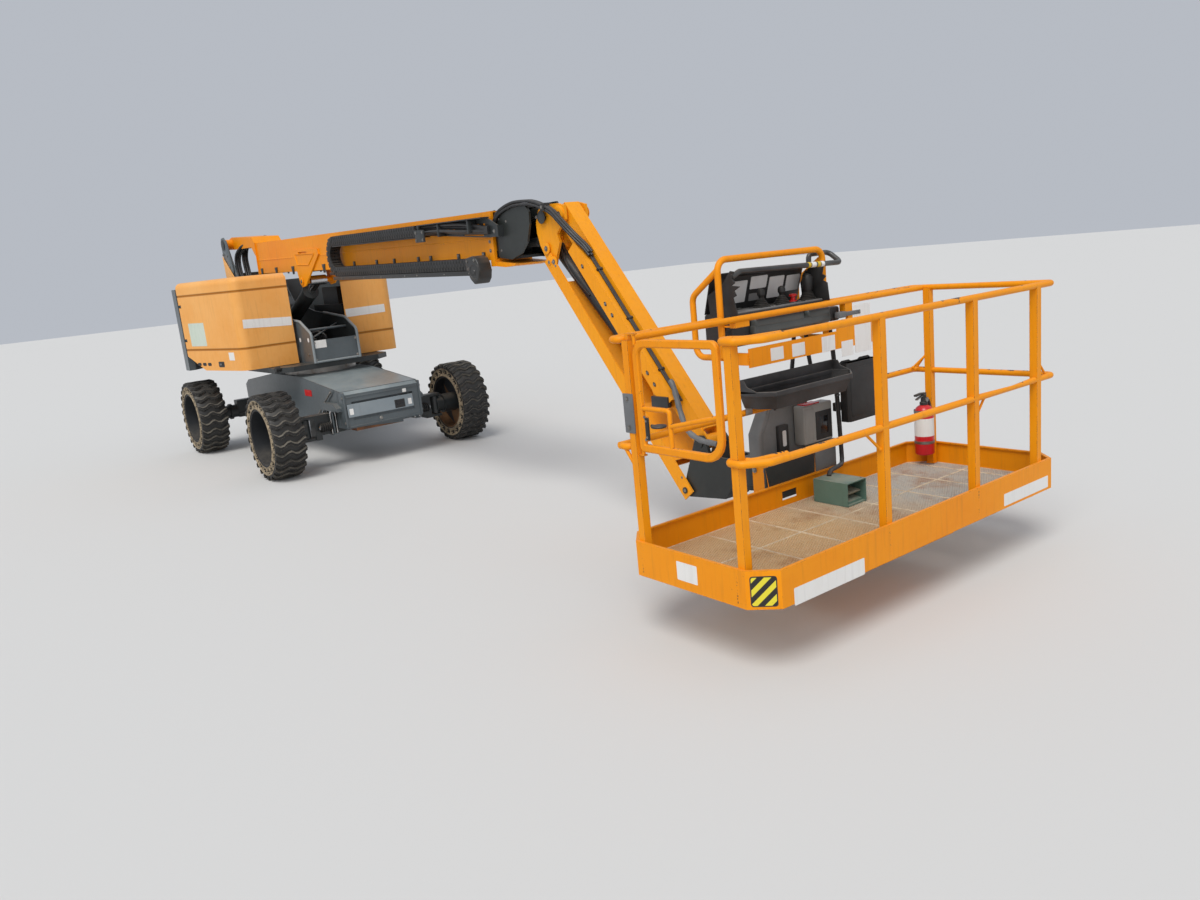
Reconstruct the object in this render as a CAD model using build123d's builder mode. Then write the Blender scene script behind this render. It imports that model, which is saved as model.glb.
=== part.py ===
from build123d import *
from math import atan2, cos, degrees, hypot, pi, radians, sin
import os

os.makedirs("parts", exist_ok=True)

# Millimetres. X forward along the boom, Y to the machine's left, Z up. Every size here is from the ground under the turret
# axis; save() then moves a part by FRAME_X, so that the origin of what is handed in is halfway along the machine.
FRAME_X = 2885

# Running gear
WHEELBASE = 2480
TYRE_R = 420            # to the lugs' tips
TYRE_W = 305
TYRE_Y = 1010           # from the centre plane to the middle of a tyre
LUG_H = 22
LUG_COUNT = 26
BORE_R = 276            # the solid tyre's bore, which is the rim's outside
RIM_T = 10
KING_Y = 720            # kingpin
BEAM_Y = 640            # the axle beam's end
HUB_R = 75

# Chassis
CH_W = 410              # half width
CH_X = WHEELBASE / 2 + 310      # front face
CH_REAR = -WHEELBASE / 2 - 240
CH_Z0 = 390
COVER_Z_FRONT = 755
COVER_Z_REAR = 865
SHEET = 8
TIE = (290, CH_REAR + 10, 345)  # tie-down hole's middle: out from the centre plane, along, up
TIE_R = 20

# Turret
BASE_Z = (930, 985)     # turret floor plate
CHEEK_Y = 260           # outer face of the turret's side plates
CHEEK_T = 14
PIVOT = (-1880, 2385)   # boom pivot, x and z
LIFT_FOOT = (-1350, 1125)
LIFT_EYE = (330, 1850)
HOOD_T = 8
HOOD_PIN = (-980, 1095)
HOOD_Z = (991, 1965)

# Boom
BOOM_A = radians(1.45)  # the boom falls by this towards the nose
BOOM_H = 350
BOOM_W = 300
BOOM_T = 8
BOOM_U = (-1050, 4270)
FLY_W, FLY_H, FLY_T = 262, 312, 8
PAD_GAP = 0.3

# Jib, pins as x and z
KNUCKLE_PIN = (4850, 2110)
LEVEL_PIN = (4795, 1960)
LEVEL_FOOT = (4400, 1950)
JIB_UP_PIN = (5031, 2110)
JIB_LOW_PIN = (4892, 1805)
JIB_REACH = (1194, -1447)   # from a pin at the knuckle to its like at the jib head
JIB_CYL_FOOT = (4849, 1893)
JIB_CYL_EYE = (5847, 909)

# Platform
PL_X, PL_L, PL_W = 7275, 2420, 920
PL_Z = 320
PL_CHX, PL_CHY = 110, 100
TOE = 170
RAIL_Z = 1440
MID_Z = 941
RAIL_R = 17
POST = 42
ROTATE_X = 6590


def save(name, b):
    part = b.part.moved(Location((-FRAME_X, 0, 0)))
    part.label = name
    export_step(part, "parts/" + name + ".step")


def slab(x0, x1, y0, y1, z0, z1, mode=Mode.ADD):
    with Locations(((x0 + x1) / 2, (y0 + y1) / 2, (z0 + z1) / 2)):
        Box(x1 - x0, y1 - y0, z1 - z0, mode=mode)


def plate_xz(points, y0, y1, mode=Mode.ADD):
    with BuildSketch(Plane(origin=(0, y1, 0), x_dir=(1, 0, 0), z_dir=(0, -1, 0))) as sk:
        with BuildLine():
            Polyline(*points, close=True)
        make_face()
    extrude(sk.sketch, amount=y1 - y0, mode=mode)


def plate_yz(points, x0, x1, mode=Mode.ADD):
    with BuildSketch(Plane(origin=(x0, 0, 0), x_dir=(0, 1, 0), z_dir=(1, 0, 0))) as sk:
        with BuildLine():
            Polyline(*points, close=True)
        make_face()
    extrude(sk.sketch, amount=x1 - x0, mode=mode)


def plate_xy(points, z0, z1, mode=Mode.ADD):
    with BuildSketch(Plane.XY.offset(z0)) as sk:
        with BuildLine():
            Polyline(*points, close=True)
        make_face()
    extrude(sk.sketch, amount=z1 - z0, mode=mode)


def bar(a, b, r, mode=Mode.ADD):
    d = tuple(q - p for p, q in zip(a, b))
    with BuildSketch(Plane(origin=a, z_dir=d)) as sk:
        Circle(r)
    extrude(sk.sketch, amount=sum(c * c for c in d) ** 0.5, mode=mode)


def pin_y(x, z, r, y0, y1, mode=Mode.ADD):
    bar((x, y0, z), (x, y1, z), r, mode)


def tube(points, r, bend):
    with BuildLine() as path:
        FilletPolyline(*points, radius=bend)
    with BuildSketch(Plane(origin=path.line @ 0, z_dir=path.line % 0)) as sk:
        Circle(r)
    sweep(sk.sketch, path=path.line)


def boom_xz(u, v):
    return (u * cos(BOOM_A) + v * sin(BOOM_A), 2141 - u * sin(BOOM_A) + v * cos(BOOM_A))


def boom_block(u0, u1, v0, v1, y0, y1, mode=Mode.ADD):
    plate_xz([boom_xz(u0, v0), boom_xz(u1, v0), boom_xz(u1, v1), boom_xz(u0, v1)], y0, y1, mode)


def along(p, q, t, off=0.0):
    # the point at t millimetres from p towards q, off to its left
    n = hypot(q[0] - p[0], q[1] - p[1])
    c, s = (q[0] - p[0]) / n, (q[1] - p[1]) / n
    return (p[0] + c * t - s * off, p[1] + s * t + c * off)


def arm_block(p, q, t0, t1, o0, o1, y0, y1, mode=Mode.ADD):
    plate_xz([along(p, q, t0, o0), along(p, q, t1, o0), along(p, q, t1, o1), along(p, q, t0, o1)], y0, y1, mode)


def shift(p, d):
    return (p[0] + d[0], p[1] + d[1])


# Chassis frame: a welded box, its sloping cover and the recessed front panel
cover = [(CH_X, CH_Z0), (CH_X, COVER_Z_FRONT - 30), (CH_X - 35, COVER_Z_FRONT), (430, COVER_Z_REAR), (-430, COVER_Z_REAR),
         (CH_REAR + 120, COVER_Z_FRONT), (CH_REAR, COVER_Z_FRONT - 60), (CH_REAR, CH_Z0)]
with BuildPart() as chassis_frame:
    plate_xz(cover, -CH_W, CH_W)
    inner = [(CH_X - 60, CH_Z0 - 1), (CH_X - 60, COVER_Z_FRONT - 45), (430, COVER_Z_REAR - 24), (-430, COVER_Z_REAR - 24),
             (CH_REAR + 60, COVER_Z_FRONT - 45), (CH_REAR + 60, CH_Z0 - 1)]
    plate_xz(inner, -CH_W + SHEET, CH_W - SHEET, Mode.SUBTRACT)
    slab(-420, 420, -CH_W + SHEET, CH_W - SHEET, CH_Z0 + 60, COVER_Z_REAR - 24)
    # the recessed panel in the front face and its cut-out
    plate_xz([(CH_X + 1, 470), (CH_X + 1, 650), (CH_X - 40, 650), (CH_X - 8, 470)], -330, 330, Mode.SUBTRACT)
    slab(CH_X - 61, CH_X + 1, 215, 290, 575, 635, Mode.SUBTRACT)
    # bottom skid plate under the front
    slab(CH_X - 230, CH_X - 40, -300, 210, 352, CH_Z0)
    for side in (-1, 1):
        # gusset box over each front axle end
        plate_xz([(CH_X - 490, 566), (CH_X - 50, 566), (CH_X - 50, 600), (CH_X - 130, 640), (CH_X - 410, 640)],
                 *sorted((side * CH_W, side * (CH_W + 60))))
        # U-bolts and their clamp plate
        for x in (WHEELBASE / 2 - 90, WHEELBASE / 2 + 90):
            bar((x, side * 455, 335), (x, side * 455, 570), 9)
        slab(WHEELBASE / 2 - 110, WHEELBASE / 2 + 110, side * 455 - 30, side * 455 + 30, 331, 343)
        # tie-down flange below the rear face, its hole along X
        ty = [side * (TIE[0] + v) for v in (-58, 58, 58, 30, -30, -58)]
        plate_yz(list(zip(ty, (CH_Z0 + 2, CH_Z0 + 2, TIE[2] - 20, TIE[2] - 48, TIE[2] - 48, TIE[2] - 20))), TIE[1] - 10, TIE[1] + 10)
        bar((TIE[1] - 11, side * TIE[0], TIE[2]), (TIE[1] + 11, side * TIE[0], TIE[2]), TIE_R, Mode.SUBTRACT)
save("chassis_frame", chassis_frame)

# Axles
for name, x, steered in (("axle_front", WHEELBASE / 2, True), ("axle_rear", -WHEELBASE / 2, False)):
    with BuildPart() as axle:
        slab(x - 75, x + 75, -BEAM_Y, BEAM_Y, 345, CH_Z0)
        for side in (-1, 1):
            y0, y1 = sorted((side * (CH_W + 3), side * BEAM_Y))
            slab(x - 60, x + 60, y0, y1, CH_Z0, 545)
            if steered:
                y0, y1 = sorted((side * BEAM_Y, side * (KING_Y + 45)))
                slab(x - 55, x + 55, y0, y1, 520, 545)
                slab(x - 55, x + 55, y0, y1, 300, 325)
                slab(x - 75, x + 75, *sorted((side * (BEAM_Y - 60), side * BEAM_Y)), 300, 345)
                bar((x, side * KING_Y, 296), (x, side * KING_Y, 549), 20)
            else:
                bar((x, side * BEAM_Y, TYRE_R), (x, side * 800, TYRE_R), HUB_R)
                bar((x, side * 800, TYRE_R), (x, side * 960, TYRE_R), 100)
                bar((x, side * 700, TYRE_R), (x, side * 730, TYRE_R), 92)
    save(name, axle)

for name, side in (("steer_knuckle_right", -1), ("steer_knuckle_left", 1)):
    with BuildPart() as kn:
        x = WHEELBASE / 2
        bar((x, side * KING_Y, 332), (x, side * KING_Y, 513), 48)
        bar((x, side * KING_Y, TYRE_R), (x, side * 800, TYRE_R), HUB_R)
        bar((x, side * 800, TYRE_R), (x, side * 960, TYRE_R), 100)
        slab(x - 190, x - 40, *sorted((side * (KING_Y - 20), side * (KING_Y + 20))), 405, 435)
        bar((x, side * KING_Y, 290), (x, side * KING_Y, 560), 20.5, Mode.SUBTRACT)
    save(name, kn)

# Wheels: a dished rim and a solid tyre with holes through its sidewalls and wavy lugs
WHEELS = (("front_right", 1, -1), ("front_left", 1, 1), ("rear_right", -1, -1), ("rear_left", -1, 1))
for name, fore, side in WHEELS:
    cx, cy = fore * WHEELBASE / 2, side * TYRE_Y
    with BuildPart() as rim:
        def ring(y0, y1, r0, r1, mode=Mode.ADD):
            with BuildSketch(Plane(origin=(cx, cy + side * y0, TYRE_R), x_dir=(1, 0, 0), z_dir=(0, side, 0))) as sk:
                Circle(r1)
                if r0:
                    Circle(r0, mode=Mode.SUBTRACT)
            extrude(sk.sketch, amount=y1 - y0, mode=mode)
        ring(-TYRE_W / 2 + 8, TYRE_W / 2 - 8, BORE_R - RIM_T, BORE_R)
        ring(-50, -36, 0, BORE_R - RIM_T)
        ring(-36, 20, 0, 95)
        with Locations(Plane(origin=(cx, cy - side * 20, TYRE_R), x_dir=(1, 0, 0), z_dir=(0, side, 0))):
            with PolarLocations(130, 9):
                Cylinder(11, 34)
    save("rim_" + name, rim)
    with BuildPart() as tyre:
        with BuildSketch(Plane(origin=(cx, cy - side * TYRE_W / 2, TYRE_R), x_dir=(1, 0, 0), z_dir=(0, side, 0))):
            Circle(TYRE_R - LUG_H)
            Circle(BORE_R, mode=Mode.SUBTRACT)
        extrude(amount=TYRE_W)
        # lugs: across the width in three steps, each a wave
        base = Plane(origin=(cx, cy, TYRE_R), x_dir=(1, 0, 0), z_dir=(0, side, 0))
        wave = [(-152, -24), (-60, 6), (10, -14), (90, 14), (152, -8)]
        half = 19
        outline = [(a, b - half) for a, b in wave] + [(a, b + half) for a, b in reversed(wave)]
        for i in range(LUG_COUNT):
            t = 270 + 360 / LUG_COUNT * i
            c, s = cos(radians(t)), sin(radians(t))
            with BuildSketch(Plane(origin=(cx + c * (TYRE_R - LUG_H - 3), cy, TYRE_R + s * (TYRE_R - LUG_H - 3)),
                                   x_dir=(0, side, 0), z_dir=(c, 0, s))):
                with BuildLine():
                    Polyline(*outline, close=True)
                make_face()
            extrude(amount=LUG_H + 3)
    save("tyre_" + name, tyre)

# Slewing ring on the chassis
with BuildPart() as slew_bearing:
    with Locations((0, 0, (COVER_Z_REAR + BASE_Z[0]) / 2)):
        Cylinder(385, BASE_Z[0] - COVER_Z_REAR)
        Cylinder(250, BASE_Z[0] - COVER_Z_REAR + 2, mode=Mode.SUBTRACT)
save("slew_bearing", slew_bearing)

# Turret frame: floor plate, two cheeks that rise to the boom's pivot ears, cross plates
cheek = [(-1440, BASE_Z[1]), (520, BASE_Z[1]), (565, 1040), (565, 1300), (290, 1430), (-550, 1500), (-1180, 1620), (-1560, 1990),
         (-1795, 2400), (-1880, 2475), (-1965, 2400), (-1900, 2200), (-1530, 1640), (-1440, 1600)]
with BuildPart() as turret_frame:
    plate_xy([(-1590, -360), (-1480, -640), (380, -640), (520, -480), (520, 480), (380, 640), (-1480, 640), (-1590, 360)],
             BASE_Z[0], BASE_Z[1])
    for side in (-1, 1):
        y0, y1 = sorted((side * (CHEEK_Y - CHEEK_T), side * CHEEK_Y))
        plate_xz(cheek, y0, y1)
        # pivot boss outside each ear
        pin_y(*PIVOT, 78, *sorted((side * CHEEK_Y, side * (CHEEK_Y + 14))))
    inner_y = CHEEK_Y - CHEEK_T
    slab(535, 549, -inner_y, inner_y, BASE_Z[1], 1225)
    slab(-1440, -1426, -inner_y, inner_y, BASE_Z[1], 1590)
    plate_xz([(-1512, 1700), (-1495, 1690), (-1715, 2020), (-1732, 2030)], -inner_y, inner_y)
    # foot lugs of the lift cylinder
    for side in (-1, 1):
        y0, y1 = sorted((side * 90, side * 112))
        plate_xz([(-1426, BASE_Z[1]), (-1240, BASE_Z[1]), (-1285, 1185), (-1426, 1200)], y0, y1)
    pin_y(*LIFT_FOOT, 28, -116, 116)
    pin_y(*PIVOT, 40, -CHEEK_Y - 20, CHEEK_Y + 20)
save("turret_frame", turret_frame)

# Counterweight: a thick cast arc behind the hoods with a notch for the ears
with BuildPart() as counterweight:
    with BuildSketch(Plane.XY.offset(BASE_Z[1])):
        Circle(1640)
        Circle(1485, mode=Mode.SUBTRACT)
        with Locations((1000, 0)):
            Rectangle(4080, 4000, mode=Mode.SUBTRACT)
        for side in (-1, 1):
            with Locations((-1000, side * 1600)):
                Rectangle(1400, 940, mode=Mode.SUBTRACT)
    extrude(amount=915)
    slab(-1700, -1000, -300, 300, 1560, 1950, Mode.SUBTRACT)
    # hinge lugs and pins of the hoods
    for side in (-1, 1):
        for z in (1320, 1700):
            slab(-1060, -962, *sorted((side * 1080, side * 1110)), z, z + 18)
            bar((HOOD_PIN[0], side * HOOD_PIN[1], z), (HOOD_PIN[0], side * HOOD_PIN[1], z + 52), 8)
save("counterweight", counterweight)

# Hoods: hollow shells, open to the inside and to the rear; front face at right angles to the boom, side face flaring out
HOOD_OUT = ((200, 875), (-1000, 1130))
HOOD_IN_Y = 300


def hood_block(side, t, z0, z1, corner, roll):
    """The hood's outline, t inside its face, with its outer front corner and its top edge rounded."""
    n = hypot(1200, 255)
    ox, oy = 255 / n * t, 1200 / n * t
    points = [(200 - t, side * HOOD_IN_Y), (200 - t, side * (875 - oy - 255 / 1200 * t + ox)),
              (-1000 - t, side * (1130 - oy - ox * 0.2 + 0.2 * t)), (-1000 - t, side * HOOD_IN_Y)]
    with BuildPart() as block:
        with BuildSketch(Plane.XY.offset(z0)):
            with BuildLine():
                Polyline(*points, close=True)
            make_face()
            fillet([v for v in vertices() if v.X > 100 and abs(v.Y) > 600], corner)
        extrude(amount=z1 - z0)
        if roll:
            top = block.faces().sort_by(Axis.Z)[-1]
            fillet([e for e in top.edges() if e.center().X > -990 - t and abs(e.center().Y) > HOOD_IN_Y + 2], roll)
    return block.part


for name, side in (("hood_right", -1), ("hood_left", 1)):
    with BuildPart() as hood:
        add(hood_block(side, 0, HOOD_Z[0], HOOD_Z[1], 110, 62))
        add(hood_block(side, HOOD_T, HOOD_Z[0] - 1, HOOD_Z[1] - HOOD_T, 102, 54), mode=Mode.SUBTRACT)
        # the inner side is open
        slab(-1010, 201 - HOOD_T, *sorted((side * (HOOD_IN_Y - 1), side * (HOOD_IN_Y + 9))), HOOD_Z[0] - 1, HOOD_Z[1] - HOOD_T, Mode.SUBTRACT)
        # the two pressed grooves
        for z in (1820, 1222):
            add(hood_block(side, 0, z - 7, z + 7, 110, 0) - hood_block(side, 4, z - 8, z + 8, 106, 0), mode=Mode.SUBTRACT)
        # the lower rear corner is cut up at a slant
        plate_xz([(-1001, HOOD_Z[0] - 1), (-640, HOOD_Z[0] - 1), (-1001, 1150)], -1200, 1200, Mode.SUBTRACT)
        for z in (1344, 1724):
            slab(-1001, -948, *sorted((side * 1060, side * 1160)), z - 33, z, Mode.SUBTRACT)
            slab(-999, -962, *sorted((side * 1074, side * 1118)), z, z + 20)
            bar((HOOD_PIN[0], side * HOOD_PIN[1], z - 5), (HOOD_PIN[0], side * HOOD_PIN[1], z + 30), 8.2, Mode.SUBTRACT)
    save(name, hood)

# Engine, one block under the left hood
with BuildPart() as engine_block:
    slab(-900, -60, 380, 780, BASE_Z[1], 1560)
    slab(-700, -250, 430, 730, 1560, 1760)
save("engine_block", engine_block)

# Boom base section: hollow box, collars, lift bracket, tail to the pivot
hw, hh = BOOM_W / 2, BOOM_H / 2
fw, fh = FLY_W / 2, FLY_H / 2
with BuildPart() as boom_base:
    boom_block(BOOM_U[0], BOOM_U[1], -hh, hh, -hw, hw)
    # front collar, with the lip below it
    boom_block(BOOM_U[1] - 60, BOOM_U[1], -hh - 45, hh, -hw - 14, hw + 14)
    plate_xz([boom_xz(BOOM_U[1] - 60, -hh - 45), boom_xz(BOOM_U[1], -hh - 45), (4390, 1800), (4510, 1806), (4525, 1818),
              boom_xz(BOOM_U[1], -hh - 12), boom_xz(BOOM_U[1] - 60, -hh - 10)], -hw - 8, hw + 8)
    # rear collar
    boom_block(BOOM_U[0], BOOM_U[0] + 16, -hh - 14, hh, -hw - 16, hw + 16)
    boom_block(BOOM_U[0] - 2, BOOM_U[1] + 2, -hh + BOOM_T, hh - BOOM_T, -hw + BOOM_T, hw - BOOM_T, Mode.SUBTRACT)
    # slide pads round the fly section, behind the front collar
    for side in (-1, 1):
        for y in (45, 85):
            boom_block(4170, 4262, -hh + BOOM_T - 1, -fh - PAD_GAP, *sorted((side * y, side * (y + 32))))
            boom_block(4170, 4262, fh + PAD_GAP, hh - BOOM_T + 1, *sorted((side * y, side * (y + 32))))
        boom_block(4170, 4262, -110, 110, *sorted((side * (fw + PAD_GAP), side * (hw - BOOM_T + 1))))
    # tail: two cheeks and a deck from the collar to the pivot tube
    tail = [(-1945, 2330), (-1965, 2400), (-1930, 2455), (-1840, 2470), (-1120, 2420), (-1034, 2345), (-1034, 2200), (-1060, 2200),
            (-1160, 2305), (-1800, 2318)]
    for side in (-1, 1):
        plate_xz(tail, *sorted((side * 150, side * 166)))
    plate_xz([(-1840, 2470), (-1120, 2420), (-1120, 2408), (-1840, 2458)], -150, 150)
    plate_xz([(-1120, 2420), (-1034, 2345), (-1034, 2333), (-1120, 2408)], -150, 150)
    pin_y(*PIVOT, 62, -240, 240)
    # lift bracket: one outline each side, outside the box
    bracket = [(140, 2185), (870, 2160), (880, 2105), (400, 1800), (300, 1790), (255, 1830)]
    for side in (-1, 1):
        plate_xz(bracket, *sorted((side * hw, side * (hw + 16))))
        boom_block(330, 560, -5, 25, *sorted((side * (hw - 1), side * (hw + 17))), Mode.SUBTRACT)
        # weld step along the side and the wear pad tabs
        boom_block(BOOM_U[0] + 20, BOOM_U[1] - 62, -28, -22, *sorted((side * hw, side * (hw + 4))))
    pin_y(*PIVOT, 40.5, -245, 245, Mode.SUBTRACT)
    for side in (-1, 1):
        pin_y(*LIFT_EYE, 28, *sorted((side * 94, side * (hw + 22))))
save("boom_base", boom_base)

# Energy chain beside the boom: upper run on a guide, end loop, lower run in a tray that hangs from tabs, end housing
CHAIN_Y = (-282, -178)
CHAIN_V = ((45, 135), (-240, -150))   # upper and lower run, across the boom
LOOP_U, CHAIN_END_U = 1571, 3290
with BuildPart() as chain_carrier:
    boom_block(LOOP_U, CHAIN_END_U, *CHAIN_V[0], *CHAIN_Y)
    boom_block(LOOP_U, 4120, *CHAIN_V[1], *CHAIN_Y)
    r_out = (CHAIN_V[0][1] - CHAIN_V[1][0]) / 2
    with BuildSketch(Plane(origin=(0, CHAIN_Y[1], 0), x_dir=(1, 0, 0), z_dir=(0, -1, 0))):
        with Locations(boom_xz(LOOP_U, CHAIN_V[0][1] - r_out)):
            Circle(r_out)
            Circle(r_out - 90, mode=Mode.SUBTRACT)
            with Locations((r_out + 3, 0)):
                Rectangle(2 * r_out, 3 * r_out, mode=Mode.SUBTRACT)
    extrude(amount=CHAIN_Y[1] - CHAIN_Y[0])
    boom_block(LOOP_U, CHAIN_END_U, CHAIN_V[0][0] - 8, CHAIN_V[0][0], CHAIN_Y[0] - 8, -hw)
    boom_block(LOOP_U - 60, 4190, CHAIN_V[1][0] - 8, CHAIN_V[1][0], CHAIN_Y[0] - 8, -hw)
    boom_block(LOOP_U - 60, 4190, CHAIN_V[1][0] - 34, CHAIN_V[1][0], CHAIN_Y[0] - 14, CHAIN_Y[0] - 8)
    for u in (1700, 2200, 2560, 3020, 3240, 3700, 4080):
        boom_block(u, u + 40, CHAIN_V[1][0] - 8, -112, -hw - 8, -hw)
    plate_xz([boom_xz(4060, -150), boom_xz(4150, -130), boom_xz(4215, -170), boom_xz(4235, -280),
              boom_xz(4205, -335), boom_xz(4150, -320), boom_xz(4060, -240)], CHAIN_Y[0] - 14, CHAIN_Y[1])
save("chain_carrier", chain_carrier)

# Fly section: hollow box inside the base and the nose with its tongue
with BuildPart() as boom_fly:
    boom_block(-820, 4330, -fh, fh, -fw, fw)
    boom_block(-830, 4310, -fh + FLY_T, fh - FLY_T, -fw + FLY_T, fw - FLY_T, Mode.SUBTRACT)
    # slide pads at its tail
    for side in (-1, 1):
        boom_block(-815, -715, fh - 1, hh - BOOM_T - PAD_GAP, *sorted((side * 45, side * 115)))
        boom_block(-815, -715, -hh + BOOM_T + PAD_GAP, -fh + 1, *sorted((side * 45, side * 115)))
        boom_block(-815, -715, -110, 110, *sorted((side * (fw - 1), side * (hw - BOOM_T - PAD_GAP))))
    # nose: two cheeks wide enough for the knuckle and the lower arm to swing between them
    nose = [boom_xz(4312, fh + 10), (4560, 2222), (4690, 2222), (4745, 2160), (4740, 2075), (4690, 1960), (4600, 1885),
            (4470, 1850), boom_xz(4312, -fh - 4)]
    # inner cheeks that carry the pin
    tongue = [boom_xz(4300, fh - 30), (4560, 2195), (4840, 2160), (4890, 2140), (4895, 2085), (4860, 2064), (4810, 2066),
              (4735, 2114), (4640, 2114), boom_xz(4300, 60)]
    for side in (-1, 1):
        plate_xz(nose, *sorted((side * fw, side * (fw + 16))))
        boom_block(4290, 4325, -fh, fh, *sorted((side * (fw - 4), side * (fw + 8))))
        plate_xz(tongue, *sorted((side * 40, side * 62)))
    plate_xz([boom_xz(4312, fh), (4560, 2218), (4660, 2218), (4660, 2192), (4560, 2192), boom_xz(4312, fh - 32)], -fw, fw)
    plate_xz([boom_xz(4312, -fh), (4460, 1853), (4460, 1873), boom_xz(4312, -fh + 20)], -fw, fw)
    pin_y(*KNUCKLE_PIN, 26, -104, 104)
    pin_y(*LEVEL_FOOT, 22, -fw, fw)
save("boom_fly", boom_fly)

# Energy-chain drag bracket: it rides with the fly section
with BuildPart() as chain_bracket:
    plate_xz([boom_xz(3298, 50), boom_xz(3480, 40), boom_xz(4260, -10), boom_xz(4400, -10), boom_xz(4400, 70), boom_xz(4250, 136),
              boom_xz(3298, 136)], -196, -184)
    boom_block(3298, 4300, 128, 136, -270, -196)
    boom_block(3298, 3330, 50, 136, -270, -196)
    boom_block(4335, 4400, -10, 70, -184, -fw - 16)
    for u in range(3560, 4200, 90):
        boom_block(u, u + 45, 72, 92, -200, -180, Mode.SUBTRACT)
    plate_xz([boom_xz(3900, 22), boom_xz(4200, 2), boom_xz(4200, 42), boom_xz(3930, 46)], -200, -180, Mode.SUBTRACT)
save("chain_bracket", chain_bracket)


CYLINDERS = (
    # barrel, rod, foot, eye, barrel r, rod r, gland at, rod starts at, foot half width, eye half width, foot r, eye r, foot's hole
    ("lift_barrel", "lift_rod", LIFT_FOOT, LIFT_EYE, 80, 45, 1560, 160, 80, 88, 60, 52, 28.5),
    ("level_barrel", "level_rod", LEVEL_FOOT, LEVEL_PIN, 31, 15, 240, 142, 33, 30, 34, 30, 22.5),
    ("jib_barrel", "jib_rod", JIB_CYL_FOOT, JIB_CYL_EYE, 42, 25, 1150, 170, 34, 30, 38, 27, 20.5),
)
for barrel_name, rod_name, foot, eye, r_b, r_r, gland, start, foot_w, eye_w, r_foot, r_eye, hole_f in CYLINDERS:
    with BuildPart() as barrel:
        b = along(foot, eye, gland)
        bar((foot[0], 0, foot[1]), (b[0], 0, b[1]), r_b)
        g = along(foot, eye, gland - 40)
        bar((g[0], 0, g[1]), (b[0], 0, b[1]), r_b * 1.12)
        pin_y(*foot, r_foot, -foot_w, foot_w)
        c, e = along(foot, eye, r_foot + 30), along(foot, eye, gland + 5)
        bar((c[0], 0, c[1]), (g[0], 0, g[1]), r_r + 6, Mode.SUBTRACT)
        bar((g[0], 0, g[1]), (e[0], 0, e[1]), r_r + 0.3, Mode.SUBTRACT)
        pin_y(*foot, hole_f, -foot_w - 60, foot_w + 60, Mode.SUBTRACT)
    save(barrel_name, barrel)
    with BuildPart() as rod:
        a = along(foot, eye, start)
        bar((a[0], 0, a[1]), (eye[0], 0, eye[1]), r_r)
        pin_y(*eye, r_eye, -eye_w, eye_w)
    save(rod_name, rod)

# Knuckle: two plates that carry the jib's upper ends
knuckle_plate = [(4790, 2160), (4845, 2192), (5020, 2185), (5092, 2165), (5096, 2075), (5040, 2035), (4985, 1990), (5005, 1930),
                 (4960, 1850), (4925, 1768), (4862, 1768), (4815, 1850), (4772, 1925), (4748, 2010), (4748, 2080)]
with BuildPart() as knuckle:
    for side in (-1, 1):
        plate_xz(knuckle_plate, *sorted((side * 78, side * 98)))
        pin_y(*JIB_UP_PIN, 55, *sorted((side * 98, side * 106)))
    for p, r, w in ((JIB_UP_PIN, 25, 114), (JIB_CYL_FOOT, 20, 104)):
        pin_y(*p, r, -w, w)
    for side in (-1, 1):
        pin_y(*JIB_LOW_PIN, 20, *sorted((side * 72, side * 123)))
        pin_y(*LEVEL_PIN, 18, *sorted((side * 33, side * 98)))
    pin_y(*KNUCKLE_PIN, 26.5, -120, 120, Mode.SUBTRACT)
save("knuckle", knuckle)

# Jib arms
UP_END = shift(JIB_UP_PIN, JIB_REACH)
LOW_END = shift(JIB_LOW_PIN, JIB_REACH)
ARM_L = hypot(*JIB_REACH)
with BuildPart() as jib_upper:
    arm_block(JIB_UP_PIN, UP_END, -45, ARM_L - 60, -75, 65, -60, 60)
    arm_block(JIB_UP_PIN, UP_END, -39, ARM_L - 66, -69, 59, -54, 54, Mode.SUBTRACT)
    for p in (JIB_UP_PIN, UP_END):
        pin_y(*p, 44, -66, 66)
    for side in (-1, 1):
        arm_block(JIB_UP_PIN, UP_END, ARM_L - 120, ARM_L + 44, -40, 44, *sorted((side * 50, side * 66)))
        # lugs for the jib cylinder's rod eye
        eye = [along(JIB_UP_PIN, UP_END, 1360, -70), along(JIB_UP_PIN, UP_END, 1540, -70),
               along(JIB_UP_PIN, UP_END, 1480, -160), along(JIB_UP_PIN, UP_END, 1412, -160)]
        plate_xz(eye, *sorted((side * 42, side * 56)))
    for side in (-1, 1):
        pin_y(*JIB_CYL_EYE, 20, *sorted((side * 36, side * 62)))
    # hose guard channel along the right side
    arm_block(JIB_UP_PIN, UP_END, 260, 1560, -74, -68, -128, -60)
    arm_block(JIB_UP_PIN, UP_END, 260, 1560, 20, 26, -128, -60)
    arm_block(JIB_UP_PIN, UP_END, 260, 1560, -74, 26, -134, -128)
    pin_y(*JIB_UP_PIN, 25.5, -70, 70, Mode.SUBTRACT)
    pin_y(*UP_END, 25.5, -70, 70, Mode.SUBTRACT)
save("jib_upper", jib_upper)

with BuildPart() as jib_lower:
    for side in (-1, 1):
        arm_block(JIB_LOW_PIN, LOW_END, -40, ARM_L + 42, -48, 48, *sorted((side * 106, side * 116)))
    arm_block(JIB_LOW_PIN, LOW_END, 150, ARM_L - 190, -48, -40, -106, 106)
    arm_block(JIB_LOW_PIN, LOW_END, 1250, ARM_L - 190, 40, 48, -106, 106)
    for p in (JIB_LOW_PIN, LOW_END):
        pin_y(*p, 20.5, -120, 120, Mode.SUBTRACT)
save("jib_lower", jib_lower)

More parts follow.
